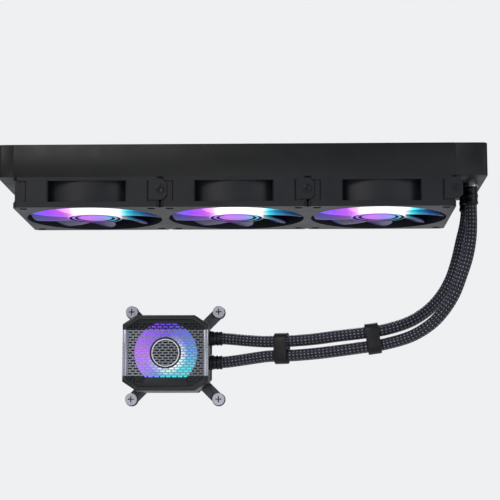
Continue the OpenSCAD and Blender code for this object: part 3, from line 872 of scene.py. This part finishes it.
@dataclass(frozen=True)
class RotorFinish(Finish):
    """Frosted plastic lit from inside, on one fan."""

    centre_x: float = 0.0
    reach: float = 0.056
    part: str = "Blade"
    strength: float = 1.35

    def build(self) -> bpy.types.Material:
        """Makes the material.

        Returns:
            The material.
        """
        material, tree, shader = self.start()
        glow = use_effect(tree, Effect.ROTOR_GLOW, Centre_X=self.centre_x, Reach=self.reach)
        grain = use_effect(tree, Effect.GRAIN, Scale=self.grain)
        self.paint(tree, shader, grain.outputs["Patches"])
        tree.feed(shader.inputs["Emission Color"], glow.outputs[self.part])
        shader.inputs["Emission Strength"].default_value = self.strength
        self.raise_grain(tree, shader, grain.outputs["Height"], 0.0002)
        return material


@dataclass(frozen=True)
class RingFinish(Finish):
    """The diffuser of the pump's light ring."""

    strength: float = 1.5

    def build(self) -> bpy.types.Material:
        """Makes the material.

        Returns:
            The material.
        """
        material, tree, shader = self.start()
        glow = use_effect(tree, Effect.RING_GLOW)
        grain = use_effect(tree, Effect.GRAIN, Scale=self.grain)
        self.paint(tree, shader, grain.outputs["Patches"])
        tree.feed(shader.inputs["Emission Color"], glow.outputs["Colour"])
        shader.inputs["Emission Strength"].default_value = self.strength
        return material


@dataclass(frozen=True)
class MeshFinish(Finish):
    """The perforated cover: silver across its middle and smoked above and below, with painted shade darkening
    the silver towards the right and a painted glow in the light ring's colours over the ring.
    """

    band: float = 19.5 * MM
    edge: float = 0.1 * MM
    left: float = -96 * MM
    right: float = -30 * MM
    strength: float = 0.3

    def build(self) -> bpy.types.Material:
        """Makes the material.

        Returns:
            The material.
        """
        material, tree, shader = self.start()
        glow = use_effect(tree, Effect.RING_GLOW)
        grain = use_effect(tree, Effect.GRAIN, Scale=self.grain)
        x, _, z = tree.split(tree.place())
        height = tree.math("ABSOLUTE", tree.math("SUBTRACT", z, EYE.z))
        smoked = tree.between(height, self.band - self.edge, self.band + self.edge, 0.0, 1.0)
        silver = self.tint(tree, grain.outputs["Patches"])
        # Painted shade: the silver darkens from its left end towards the right.
        side = tree.between(x, self.left, self.right, 1.0, 0.45)
        shaded = tree.mix(side, linear("3a3c42"), silver)
        tree.feed(shader.inputs["Base Color"], tree.mix(smoked, shaded, linear("101216")))
        tree.feed(shader.inputs["Roughness"], self.roughen(tree, grain.outputs["Patches"]))
        # Painted glow: the mesh over the light ring shows the ring's colours, dimmer where smoked.
        lit = tree.math("MULTIPLY", glow.outputs["Mask"], tree.between(smoked, 0.0, 1.0, 1.0, 0.35))
        tree.feed(shader.inputs["Emission Color"], tree.mix(lit, (0.0, 0.0, 0.0), glow.outputs["Colour"]))
        shader.inputs["Emission Strength"].default_value = self.strength
        return material


class Finishes:
    """Every finish of the cooler, built once."""

    def __init__(self) -> None:
        """Builds the shared effects and the materials."""
        build_effects()
        self.radiator = Finish(
            "radiator_black_paint", "0d0e0f", 0.46, bump=0.16, grain=2600, dust=0.12, gloss=0.26
        ).build()
        self.fins = BrushedFinish("fin_black_coat", "141518", 0.45, metallic=0.6, bump=0.1, dust=0.1).build()
        self.frame = Finish(
            "fan_moulding", "17181c", 0.42, variation=0.08, bump=0.14, grain=3200, dust=0.04, gloss=0.26
        ).build()
        self.plastic = Finish("black_moulding", "0e0e10", 0.48, bump=0.2, grain=2800, gloss=0.26).build()
        self.pump = Finish(
            "pump_moulding", "101216", 0.38, bump=0.1, grain=3000, coat=0.06, gloss=0.3
        ).build()
        self.badge = Finish("badge_moulding", "1a1b1e", 0.5, bump=0.2, grain=2600, gloss=0.26).build()
        self.steel = BrushedFinish("plated_steel", "b4b6bc", 0.28, metallic=1.0, bump=0.08).build()
        head_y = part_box("captive_screw_1")[0].y
        self.nickel = RecessShadeFinish("satin_nickel", "9b9ca4", 0.34, metallic=0.9, front_y=head_y).build()
        self.bracket = BrushedFinish("bracket_plate", "3c3d42", 0.4, metallic=0.8, bump=0.12).build()
        self.dark_steel = Finish("black_oxide", "1b1c20", 0.38, metallic=0.7, bump=0.1).build()
        self.collar = BrushedFinish(
            "black_anodised", "17181c", 0.32, metallic=0.6, bump=0.1, stretch=(1, 1, 0.04)
        ).build()
        self.strip = BrushedFinish(
            "brushed_strip", "9a9da6", 0.34, metallic=0.7, bump=0.05, stretch=(1, 1, 0.03)
        ).build()
        self.trim = Finish("eye_trim", "d4d6dc", 0.28, metallic=0.2, bump=0.04).build()
        self.copper = BrushedFinish("machined_copper", "c0734a", 0.3, metallic=1.0, bump=0.12).build()
        self.brass = Finish("sintered_brass", "a5813f", 0.5, metallic=0.9).build()
        self.winding = BrushedFinish(
            "copper_winding", "a0521f", 0.35, metallic=0.7, bump=0.5, grain=400
        ).build()
        self.magnet = Finish("bonded_ferrite", "2b2b2d", 0.7).build()
        self.rubber = Finish("seal_rubber", "161617", 0.75, bump=0.25).build()
        self.board = Finish("solder_mask", "0f2418", 0.3, coat=0.3).build()
        self.white = Finish("impeller_white", "d2d0ca", 0.45).build()
        self.ceramic = Finish("pin_ceramic", "dcdad0", 0.2).build()
        self.braid = BraidFinish("nylon_braid", "15151f", 0.38, bump=0.6, gloss=0.28).build()
        self.ring = RingFinish("ring_diffuser", "7c7c88", 0.45, strength=1.25).build()
        self.mesh = MeshFinish("perforated_sheet", "7c7f87", 0.42, metallic=0.5).build()

    @property
    def by_slot(self) -> dict[str, bpy.types.Material]:
        """The material that each of the record's slots takes."""
        return {
            "core_metal": self.fins,
            "radiator_paint": self.radiator,
            "bright_steel": self.steel,
            "black_steel": self.dark_steel,
            "screw_nickel": self.nickel,
            "bracket_steel": self.bracket,
            "black_collar": self.collar,
            "hose_braid": self.plastic,
            "black_plastic": self.plastic,
            "fan_plastic": self.frame,
            "lit_rotor": self.frame,
            "magnet": self.magnet,
            "bearing_brass": self.brass,
            "winding": self.winding,
            "circuit_board": self.board,
            "copper": self.copper,
            "seal_rubber": self.rubber,
            "white_plastic": self.white,
            "pin_ceramic": self.ceramic,
            "light_diffuser": self.ring,
            "pump_plastic": self.pump,
            "mesh_metal": self.mesh,
            "strip_metal": self.strip,
        }

    def dress_nodes(self) -> None:
        """Gives every CAD node the finish of its slot."""
        chosen = self.by_slot
        for row in frame["record"]["subparts"]:
            dress(NODES[row["node"]], chosen[row["material_slot"]])


# ---------------------------------------------------------------- camera and stage


@dataclass
class Studio:
    """The camera, the lamps, and a pale floor and backdrop."""

    camera_place: Point = (0.050, -1.377, -0.2775)
    yaw: float = -1.6
    pitch: float = 8.2
    lens: float = 118.8
    floor_z: float = -0.36
    pale: Colour = (0.82, 0.82, 0.83)

    def aim_camera(self) -> None:
        """Makes the camera a little below the fans, looking slightly up."""
        data = bpy.data.cameras.new("camera")
        data.lens = self.lens
        data.sensor_width = 36
        data.clip_start = 0.05
        data.clip_end = 50
        camera = bpy.data.objects.new("camera", data)
        camera.location = self.camera_place
        yaw, pitch = math.radians(self.yaw), math.radians(self.pitch)
        forward = Vector((math.sin(yaw) * math.cos(pitch), math.cos(yaw) * math.cos(pitch), math.sin(pitch)))
        camera.rotation_mode = "QUATERNION"
        camera.rotation_quaternion = forward.to_track_quat("-Z", "Y")
        bpy.context.scene.collection.objects.link(camera)
        bpy.context.scene.camera = camera

    def lay_floor(self) -> None:
        """Makes one flat pale floor that fades into the background."""
        Bench.clear()
        bpy.ops.mesh.primitive_plane_add(size=6, location=(0, 0, self.floor_z))
        floor = Bench.started("floor")
        material = bpy.data.materials.new("pale_floor")
        material.use_nodes = True
        tree = Tree(material.node_tree)
        shader = material.node_tree.nodes["Principled BSDF"]
        noise = tree.add("ShaderNodeTexNoise", None, Vector=tree.place(), Scale=3.0, Detail=3.0)
        paler = tuple(c * 1.03 for c in self.pale)
        tree.feed(shader.inputs["Base Color"], tree.mix(noise.outputs[0], self.pale, paler))
        shader.inputs["Roughness"].default_value = 0.75
        reach = tree.add("ShaderNodeVectorMath", {"operation": "LENGTH"}, _0=tree.place()).outputs["Value"]
        tree.feed(shader.inputs["Alpha"], tree.between(reach, 0.8, 1.9, 1.0, 0.0))
        floor.data.materials.append(material)

    def light_world(self) -> None:
        """Makes a plain soft world that shows pale behind the object."""
        world = bpy.data.worlds.new("studio")
        bpy.context.scene.world = world
        world.use_nodes = True
        tree = Tree(world.node_tree)
        lamp = world.node_tree.nodes["Background"]
        lamp.inputs[0].default_value = (0.9, 0.93, 1.0, 1)
        lamp.inputs[1].default_value = 0.38
        shown = tree.add("ShaderNodeBackground", None, Color=(0.86, 0.87, 0.88), Strength=1.0)
        path = tree.add("ShaderNodeLightPath")
        seen = tree.math("MAXIMUM", path.outputs["Is Camera Ray"], path.outputs["Is Transmission Ray"])
        mixed = tree.add("ShaderNodeMixShader", None, _0=seen, _1=lamp.outputs[0], _2=shown.outputs[0])
        tree.feed(world.node_tree.nodes["World Output"].inputs[0], mixed.outputs[0])

    def hang_lamp(
        self, name: str, place: Point, target: Point, size: float, watts: float, colour: Colour
    ) -> None:
        """Hangs one soft square lamp.

        Args:
            name: The lamp's name.
            place: Where it hangs.
            target: Where it points.
            size: Its side, in metres.
            watts: Its power.
            colour: Its colour.
        """
        data = bpy.data.lights.new(name, "AREA")
        data.size = size
        data.energy = watts
        data.color = colour
        lamp = bpy.data.objects.new(name, data)
        lamp.location = place
        lamp.rotation_mode = "QUATERNION"
        lamp.rotation_quaternion = (Vector(target) - Vector(place)).to_track_quat("-Z", "Y")
        bpy.context.scene.collection.objects.link(lamp)

    def build(self) -> None:
        """Builds the camera, stage and lamps."""
        self.aim_camera()
        self.lay_floor()
        self.light_world()
        self.hang_lamp("key", (-0.9, -1.5, 0.9), (0, 0, -0.1), 0.9, 17, (1.0, 0.98, 0.95))
        self.hang_lamp("fill", (1.3, -1.2, 0.1), (0, 0, -0.1), 1.2, 7, (0.93, 0.96, 1.0))
        self.hang_lamp("rim", (0.3, 1.4, 0.9), (0, 0, -0.1), 0.8, 16, (1.0, 1.0, 1.0))
        self.hang_lamp("under", (0.0, -0.8, -0.33), (0, 0, -0.05), 0.5, 1.6, (1.0, 1.0, 1.0))
        bpy.context.scene.view_settings.view_transform = "Standard"


# ---------------------------------------------------------------- hoses


@dataclass
class Hose:
    """One braided hose: its route repeats the CAD source's own points, in millimetres."""

    name: str
    points: list[Point]
    companions: list[str]
    radius: float = 4.95 * MM
    bundles: int = 12
    crossing: float = 3.2 * MM
    relief: float = 0.16 * MM
    sides: int = 60
    step: float = 0.64 * MM

    def route(self) -> list[Vector]:
        """Gives the hose's centreline as even short steps along a smooth curve through its points.

        Returns:
            The points, in metres.
        """
        knots = [Vector(p) * MM for p in self.points]
        ends = [2 * knots[0] - knots[1], *knots, 2 * knots[-1] - knots[-2]]
        fine: list[Vector] = []
        for before, a, b, after in zip(ends, ends[1:], ends[2:], ends[3:]):
            for i in range(40):
                t = i / 40
                fine.append(
                    0.5
                    * (
                        2 * a
                        + (b - before) * t
                        + (2 * before - 5 * a + 4 * b - after) * t * t
                        + (3 * a - before - 3 * b + after) * t**3
                    )
                )
        fine.append(knots[-1])
        return self.evened(fine)

    def evened(self, line: list[Vector]) -> list[Vector]:
        """Spaces a line's points evenly.

        Args:
            line: A fine line.

        Returns:
            The same line with one point at each step.
        """
        runs = [0.0]
        for a, b in zip(line, line[1:]):
            runs.append(runs[-1] + (b - a).length)
        count = round(runs[-1] / self.step)
        even, k = [], 0
        for i in range(count + 1):
            want = runs[-1] * i / count
            while k < len(runs) - 2 and runs[k + 1] < want:
                k += 1
            share = (want - runs[k]) / max(1e-9, runs[k + 1] - runs[k])
            even.append(line[k].lerp(line[k + 1], min(1.0, share)))
        return even

    def lift(self, around: float, along: float) -> float:
        """Works out how far the braid stands out at one place.

        Args:
            around: Bundles counted round the hose.
            along: Crossings counted along it.

        Returns:
            Height over the hose's low radius, in metres.
        """
        a, b = around + along, around - along
        over = (math.floor(a + 1e-6) + math.floor(b + 1e-6)) % 2
        across = math.sin(math.pi * ((a if over else b) % 1.0))
        passing = math.sin(math.pi * ((b if over else a) % 1.0))
        return self.relief * across * (0.35 + 0.65 * passing)

    def build(self, finishes: Finishes) -> bpy.types.Object:
        """Builds the hose as a mesh tube, with a UV map that counts bundles and crossings.

        Args:
            finishes: The cooler's finishes.

        Returns:
            The piece.
        """
        line = self.route()
        mesh = bmesh.new()
        uv = mesh.loops.layers.uv.new("braid")
        rings = []
        side = None
        for i, place in enumerate(line):
            ahead = (line[min(i + 1, len(line) - 1)] - line[max(i - 1, 0)]).normalized()
            side = ahead.orthogonal() if side is None else side - ahead * side.dot(ahead)
            side.normalize()
            other = ahead.cross(side)
            ring = []
            for k in range(self.sides):
                turn = math.tau * k / self.sides
                out = side * math.cos(turn) + other * math.sin(turn)
                high = self.lift(self.bundles * k / self.sides, i * self.step / self.crossing)
                ring.append(mesh.verts.new(place + out * (self.radius - self.relief * 0.5 + high)))
            rings.append(ring)
        for i, (low, high) in enumerate(zip(rings, rings[1:])):
            for k in range(self.sides):
                n = (k + 1) % self.sides
                face = mesh.faces.new((low[k], low[n], high[n], high[k]))
                face.smooth = True
                corners = ((k, i), (k + 1, i), (k + 1, i + 1), (k, i + 1))
                for loop, (u, v) in zip(face.loops, corners):
                    loop[uv].uv = (self.bundles * u / self.sides, v * self.step / self.crossing)
        mesh.faces.new(reversed(rings[0]))
        mesh.faces.new(rings[-1])
        piece = Bench.piece_from(f"{self.name}_braided", mesh)
        dress(piece, finishes.braid, "hose_braid")
        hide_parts(self.name)
        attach(piece, "cooler")
        return piece


UPPER_POINTS: list[Point] = [
    (196, 18, -32), (196, 18, -44), (194.5, 18, -56), (191, 18, -70), (187, 17, -86), (182, 17, -101),
    (175, 16, -114), (166, 14, -125), (155, 10, -134), (142, 6, -141), (124, 3, -146.5), (105, 3, -149.3),
    (84, 6, -151.5), (66, 10, -153.5), (48, 14.3, -154.6), (28, 19.7, -154.8), (18, 23, -154.2),
    (8, 26.5, -153.2), (-2, 29.6, -152), (-10, 31.5, -151.2), (-15, 32, -151), (-26, 32, -151),
]
LOWER_POINTS: list[Point] = [
    (196, -18, -32), (196, -18, -46), (196, -18, -60), (195, -18, -74), (192, -18, -89), (187, -17, -104),
    (181, -16, -119), (172, -14, -133), (161, -10, -144), (145, -3, -153), (124, 3, -158.6),
    (105, 3, -161.4), (84, 6, -164), (66, 10, -165.8), (48, 14.3, -166.9), (28, 19.7, -167.1), (18, 23, -168),
    (8, 26.5, -169.2), (-2, 29.6, -170.4), (-10, 31.5, -171.2), (-15, 32, -171.4), (-26, 32, -171.4),
]


# ---------------------------------------------------------------- fans


# Each step inwards over the hub's face: how far in and how far up, in millimetres
HUB_PROFILE = (
    (0.5, 0.6),
    (0.8, 0.0),
    (0.3, -1.8),
    (1.7, 0.0),
    (0.3, 1.4),
    (2.4, 0.1),
    (0.3, -1.6),
    (1.9, 0.0),
    (0.3, 1.3),
    (1.4, 0.3),
    (2.4, 0.35),
    (4.2, 0.35),
    (3.6, 0.12),
)


@dataclass
class FanUnit:
    """One fan: its CAD frame with smoothed shading, and a lit rotor modelled in full."""

    number: int
    finishes: Finishes
    blades: int = 9
    hub_radius: float = 23 * MM
    hub_start: float = 0.9 * MM
    hub_depth: float = 19.6 * MM
    cup_wall: float = 1.6 * MM
    cup_depth: float = 14.5 * MM
    tip_radius: float = 55.6 * MM
    blade_low: float = 2.4 * MM
    blade_high: float = 19.6 * MM
    blade_thickness: float = 1.7 * MM
    root_pitch: float = 45
    tip_pitch: float = 23
    body: str = field(init=False)
    centre: Vector = field(init=False)
    base: float = field(init=False)

    def __post_init__(self) -> None:
        """Reads the fan's place from the frame."""
        self.body = f"fan_{self.number}_spinner"
        low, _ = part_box(f"fan_{self.number}_frame")
        self.centre = centre_of(f"fan_{self.number}_shaft")
        self.base = low.z

    def spot(self, z: float = 0.0) -> Point:
        """Gives a point on the fan's axis.

        Args:
            z: Height over the fan's open face.

        Returns:
            The point.
        """
        return (self.centre.x, self.centre.y, self.base + z)

    def hub(self) -> bpy.types.Object:
        """Turns the hub: a cup whose open face carries rings and grooves.

        Returns:
            The piece.
        """
        Bench.clear()
        bpy.ops.mesh.primitive_cylinder_add(
            vertices=96,
            radius=self.hub_radius,
            depth=self.hub_depth,
            location=self.spot(self.hub_start + self.hub_depth / 2),
            end_fill_type="NGON",
        )
        piece = Bench.started(f"fan_{self.number}_hub")
        bpy.ops.object.transform_apply(location=True, rotation=True, scale=True)
        bpy.ops.object.mode_set(mode="EDIT")
        Bench.pick_faces(piece, lambda _, normal: normal.z < -0.5)
        for thickness, rise in HUB_PROFILE:
            bpy.ops.mesh.inset(thickness=thickness * MM, depth=rise * MM)
        Bench.pick_faces(piece, lambda _, normal: normal.z > 0.5)
        bpy.ops.mesh.inset(thickness=self.cup_wall, depth=0)
        bpy.ops.mesh.inset(thickness=0.05 * MM, depth=-self.cup_depth)
        bpy.ops.object.mode_set(mode="OBJECT")
        Bench.round_edges(piece, 0.16 * MM, 30)
        return Bench.settle(piece, 35)

    def blade(self) -> bpy.types.Object:
        """Shapes one blade from a flat grid: pitched more at the hub, swept forward and cambered.

        Returns:
            The blade, at the angle zero.
        """
        Bench.clear()
        steps_out, steps_over = 14, 12
        bpy.ops.mesh.primitive_grid_add(
            x_subdivisions=steps_out, y_subdivisions=steps_over, size=2, location=(0, 0, 0)
        )
        piece = Bench.started(f"fan_{self.number}_blade")
        inner = self.hub_radius - 0.9 * MM
        for point in piece.data.vertices:
            share = (point.co.x + 1) / 2
            over = point.co.y / 2
            radius = inner + (self.tip_radius - inner) * share
            rise = (self.blade_high - self.blade_low) * (1 - 0.10 * share)
            bow = (over + 0.5) ** 1.7
            pitch = math.radians(self.root_pitch + (self.tip_pitch - self.root_pitch) * share)
            chord = rise / math.sin(pitch)
            sweep = 0.30 * share * share + 0.05
            angle = sweep + chord * math.cos(pitch) * over / radius
            height = self.blade_low + rise * bow
            point.co = (radius * math.cos(angle), radius * math.sin(angle), height)
        Bench.apply_modifier(piece, "SOLIDIFY", thickness=self.blade_thickness, offset=0)
        Bench.round_edges(piece, 0.5 * MM, 50)
        return piece

    def rotor(self) -> None:
        """Joins the blades into one piece and, with the hub, lets them stand for the CAD rotor."""
        hub = self.hub()
        first = self.blade()
        first.location = self.spot()
        parts = [first]
        for i in range(1, self.blades):
            copy = Bench.linked(f"{first.name}_{i}", first.data.copy())
            copy.location = first.location
            copy.rotation_euler = (0, 0, math.tau * i / self.blades)
            parts.append(copy)
        Bench.clear()
        for part in parts:
            part.select_set(True)
        bpy.context.view_layer.objects.active = first
        bpy.ops.object.transform_apply(location=True, rotation=True, scale=True)
        bpy.ops.object.join()
        blades = Bench.settle(first, 40)
        blades.name = f"fan_{self.number}_blades"
        glow = RotorFinish(
            f"lit_blades_{self.number}",
            "3c3850",
            0.4,
            centre_x=self.centre.x,
            reach=self.tip_radius,
            part="Blade",
        ).build()
        hub_glow = RotorFinish(
            f"lit_hub_{self.number}",
            "3a3650",
            0.3,
            centre_x=self.centre.x,
            reach=self.tip_radius,
            part="Hub",
            strength=0.9,
        ).build()
        dress(blades, glow, "lit_rotor")
        dress(hub, hub_glow, "lit_rotor")
        hub.data.materials.append(self.finishes.plastic)
        hub.data.materials.append(glow)
        rim, face_depth = 0.7 * MM, 1.3 * MM
        for polygon in hub.data.polygons:
            low = polygon.center.z - self.base
            flat = Vector((polygon.center.x - self.centre.x, polygon.center.y - self.centre.y)).length
            inside = flat < self.hub_radius - rim
            sunk = abs(polygon.normal.z) < 0.75 or low > face_depth
            polygon.material_index = 1 if inside and sunk else (0 if inside else 2)
        for piece in (hub, blades):
            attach(piece, self.body)
        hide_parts(f"fan_{self.number}_rotor")
        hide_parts(f"fan_{self.number}_rotor")

    def build(self) -> None:
        """Smooths the frame's shading and builds the rotor."""
        case = NODES[f"fan_{self.number}_frame"]
        Bench.take(case)
        bpy.ops.object.shade_smooth_by_angle(angle=math.radians(30))
        self.rotor()
        log.info("fan %d: frame, hub and %d blades", self.number, self.blades)


# ---------------------------------------------------------------- radiator


@dataclass
class Radiator:
    """The radiator: softened tanks and rails, and fins folded as finely as real ones."""

    finishes: Finishes
    fold: float = 2.4 * MM
    sheet: float = 0.14 * MM

    def fins(self) -> None:
        """Folds one strip for each gap between the tubes."""
        low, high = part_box("folded_fins")
        columns = sorted({round(v.co.y, 5) for v in NODES["folded_fins"].data.vertices})
        gaps = self.strips(columns)
        length = high.x - low.x
        folds = int(length / self.fold)
        lean = 0.35
        strips = []
        for number, (near, far) in enumerate(gaps):
            Bench.clear()
            bpy.ops.mesh.primitive_grid_add(x_subdivisions=4 * folds, y_subdivisions=1, size=2)
            strip = Bench.started(f"fin_strip_{number}")
            for point in strip.data.vertices:
                step = round((point.co.x + 1) / 2 * 4 * folds)
                shape = (0.0, 0.0, 1.0, 1.0)[step % 4]
                along = low.x + length * (step + (lean if step % 4 in (0, 2) else -lean)) / (4 * folds)
                height = low.z + (high.z - low.z) * (point.co.y + 1) / 2
                across = near + self.sheet + (far - near - 2 * self.sheet) * shape
                point.co = (along, across, height)
            Bench.apply_modifier(strip, "SOLIDIFY", thickness=self.sheet, offset=0)
            strips.append(strip)
        Bench.clear()
        for strip in strips:
            strip.select_set(True)
        bpy.context.view_layer.objects.active = strips[0]
        bpy.ops.object.join()
        piece = strips[0]
        piece.name = "folded_fins_fine"
        Bench.settle(piece, 20)
        dress(piece, self.finishes.fins, "core_metal")
        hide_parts("folded_fins")
        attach(piece, "cooler")
        log.info("fins: %d strips of %d folds", len(gaps), folds)

    def strips(self, levels: list[float]) -> list[tuple[float, float]]:
        """Finds each strip's two sides from the levels in the CAD fins.

        Args:
            levels: Sorted Y of the CAD fins' points.

        Returns:
            The near and far side of each strip.
        """
        same_side = 1.0 * MM
        groups: list[list[float]] = [[levels[0]]]
        for level in levels[1:]:
            if level - groups[-1][-1] < same_side:
                groups[-1].append(level)
            else:
                groups.append([level])
        return [(groups[i][0], groups[i + 1][-1]) for i in range(0, len(groups) - 1, 2)]

    def build(self) -> None:
        """Builds the radiator's pieces."""
        paint, collar = self.finishes.radiator, self.finishes.collar
        soften(
            (
                ("return_tank", 0.8, paint, "radiator_paint"),
                ("inlet_tank", 0.8, paint, "radiator_paint"),
                ("side_rails", 0.35, paint, "radiator_paint"),
                ("radiator_collars", 0.15, collar, "black_collar"),
                ("pump_collars", 0.15, collar, "black_collar"),
            )
        )
        self.fins()


# ---------------------------------------------------------------- pump head


@dataclass
class PumpHead:
    """The pump head: softened shells, the rings and plate of its eye, and wound springs."""

    finishes: Finishes

    def eye_rings(self) -> None:
        """Turns the thin bright ring and the dark ring that lie on the mesh round its middle."""
        face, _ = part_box("mesh_cover")
        middle = (EYE.x, face.y, EYE.z)
        sunk = 0.02 * MM
        for name, radius, width, height, material, slot in (
            ("eye_dark_ring", 13.3 * MM, 1.2 * MM, 0.5 * MM, self.finishes.pump, "pump_plastic"),
            ("eye_bright_ring", 11.7 * MM, 0.7 * MM, 0.7 * MM, self.finishes.trim, "strip_metal"),
        ):
            Bench.clear()
            bpy.ops.mesh.primitive_circle_add(
                vertices=96,
                radius=radius,
                fill_type="NOTHING",
                location=middle,
                rotation=(math.pi / 2, 0, 0),
            )
            ring = Bench.started(name)
            bpy.ops.object.transform_apply(location=True, rotation=True, scale=True)
            bpy.ops.object.mode_set(mode="EDIT")
            bpy.ops.mesh.select_mode(type="VERT")
            bpy.ops.mesh.select_all(action="SELECT")
            bpy.ops.mesh.extrude_region_move()
            share = (radius - width) / radius
            bpy.ops.transform.resize(value=(share, share, share), center_override=middle)
            bpy.ops.object.mode_set(mode="OBJECT")
            Bench.apply_modifier(ring, "SOLIDIFY", thickness=height, offset=-1)
            low = min(v.co.y for v in ring.data.vertices)
            for point in ring.data.vertices:
                point.co.y += face.y - height + sunk - low
            Bench.round_edges(ring, 0.12 * MM, 40)
            Bench.settle(ring, 35)
            dress(ring, material, slot)
            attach(ring, "cooler")

    def eye_plate(self) -> None:
        """Puts the dark dished plate that closes the light ring's middle behind the mesh."""
        _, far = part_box("light_ring")
        Bench.clear()
        bpy.ops.mesh.primitive_cylinder_add(
            vertices=96,
            radius=12.6 * MM,
            depth=1.2 * MM,
            location=(EYE.x, far.y - 0.9 * MM, EYE.z),
            rotation=(math.pi / 2, 0, 0),
        )
        plate = Bench.started("eye_plate")
        bpy.ops.object.transform_apply(location=True, rotation=True, scale=True)
        bpy.ops.object.mode_set(mode="EDIT")
        Bench.pick_faces(plate, lambda _, normal: normal.y < -0.5)
        bpy.ops.mesh.inset(thickness=1.0 * MM, depth=0)
        bpy.ops.mesh.inset(thickness=0.3 * MM, depth=-0.5 * MM)
        bpy.ops.object.mode_set(mode="OBJECT")
        Bench.settle(plate, 35)
        dress(plate, self.finishes.plastic, "pump_plastic")
        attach(plate, "cooler")
        log.info("%s: behind the mesh", plate.name)

    def springs(self) -> None:
        """Winds the four screw springs more finely than their CAD stand-ins."""
        low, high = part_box("screw_springs")
        turns, steps, sides, wire = 4, 36, 8, 0.45 * MM
        coil = 3.2 * MM
        mesh = bmesh.new()
        for k in range(1, 5):
            head = centre_of(f"captive_screw_{k}")
            rings = []
            for i in range(turns * steps + 1):
                turn = math.tau * i / steps
                rise = low.y + wire + (high.y - low.y - 2 * wire) * (1 - i / (turns * steps))
                ring = []
                for s in range(sides):
                    roll = math.tau * s / sides
                    reach = coil + wire * math.cos(roll)
                    across = (reach * math.cos(turn), wire * math.sin(roll), reach * math.sin(turn))
                    ring.append(mesh.verts.new(Vector((head.x, rise, head.z)) + Vector(across)))
                rings.append(ring)
            for a, b in zip(rings, rings[1:]):
                for s in range(sides):
                    n = (s + 1) % sides
                    mesh.faces.new((a[s], a[n], b[n], b[s])).smooth = True
            mesh.faces.new(reversed(rings[0]))
            mesh.faces.new(rings[-1])
        piece = Bench.piece_from("screw_springs_wound", mesh)
        dress(piece, self.finishes.steel, "bright_steel")
        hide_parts("screw_springs")
        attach(piece, "cooler")

    def build(self) -> None:
        """Builds the pump head's pieces."""
        chosen = (
            ("pump_shell", 0.5, self.finishes.pump, "pump_plastic"),
            ("pump_bezel", 0.4, self.finishes.pump, "pump_plastic"),
            ("badge_plate", 0.25, self.finishes.badge, "pump_plastic"),
            ("side_strips", 0.15, self.finishes.strip, "strip_metal"),
            ("retention_bracket", 0.25, self.finishes.bracket, "bracket_steel"),
            ("cold_plate", 0.3, self.finishes.copper, "copper"),
        )
        soften(chosen)
        self.eye_rings()
        self.eye_plate()
        self.springs()
        log.info("pump head: %d softened pieces", len(chosen))


def soften_fixings(finishes: Finishes) -> None:
    """Rounds the combs that hold the hoses together, and the screws of the links and fans.

    Args:
        finishes: The cooler's finishes.
    """
    soften(
        (
            ("comb_by_pump", 0.5, finishes.plastic, "black_plastic"),
            ("comb_midway", 0.5, finishes.plastic, "black_plastic"),
            ("link_screws", 0.12, finishes.dark_steel, "black_steel"),
            ("fan_screws", 0.2, finishes.dark_steel, "black_steel"),
        )
    )


def main() -> None:
    """Builds the cooler's looks in order."""
    logging.basicConfig(level=logging.INFO)
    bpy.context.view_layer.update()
    Studio().build()
    finishes = Finishes()
    finishes.dress_nodes()
    fastened = ["comb_by_pump", "comb_midway", "radiator_collars", "pump_collars"]
    Hose("hose_upper", UPPER_POINTS, fastened).build(finishes)
    Hose("hose_lower", LOWER_POINTS, fastened).build(finishes)
    for number in (1, 2, 3):
        FanUnit(number, finishes).build()
    Radiator(finishes).build()
    PumpHead(finishes).build()
    soften_fixings(finishes)
    Bench.clear()


if __name__ == "__main__":
    main()
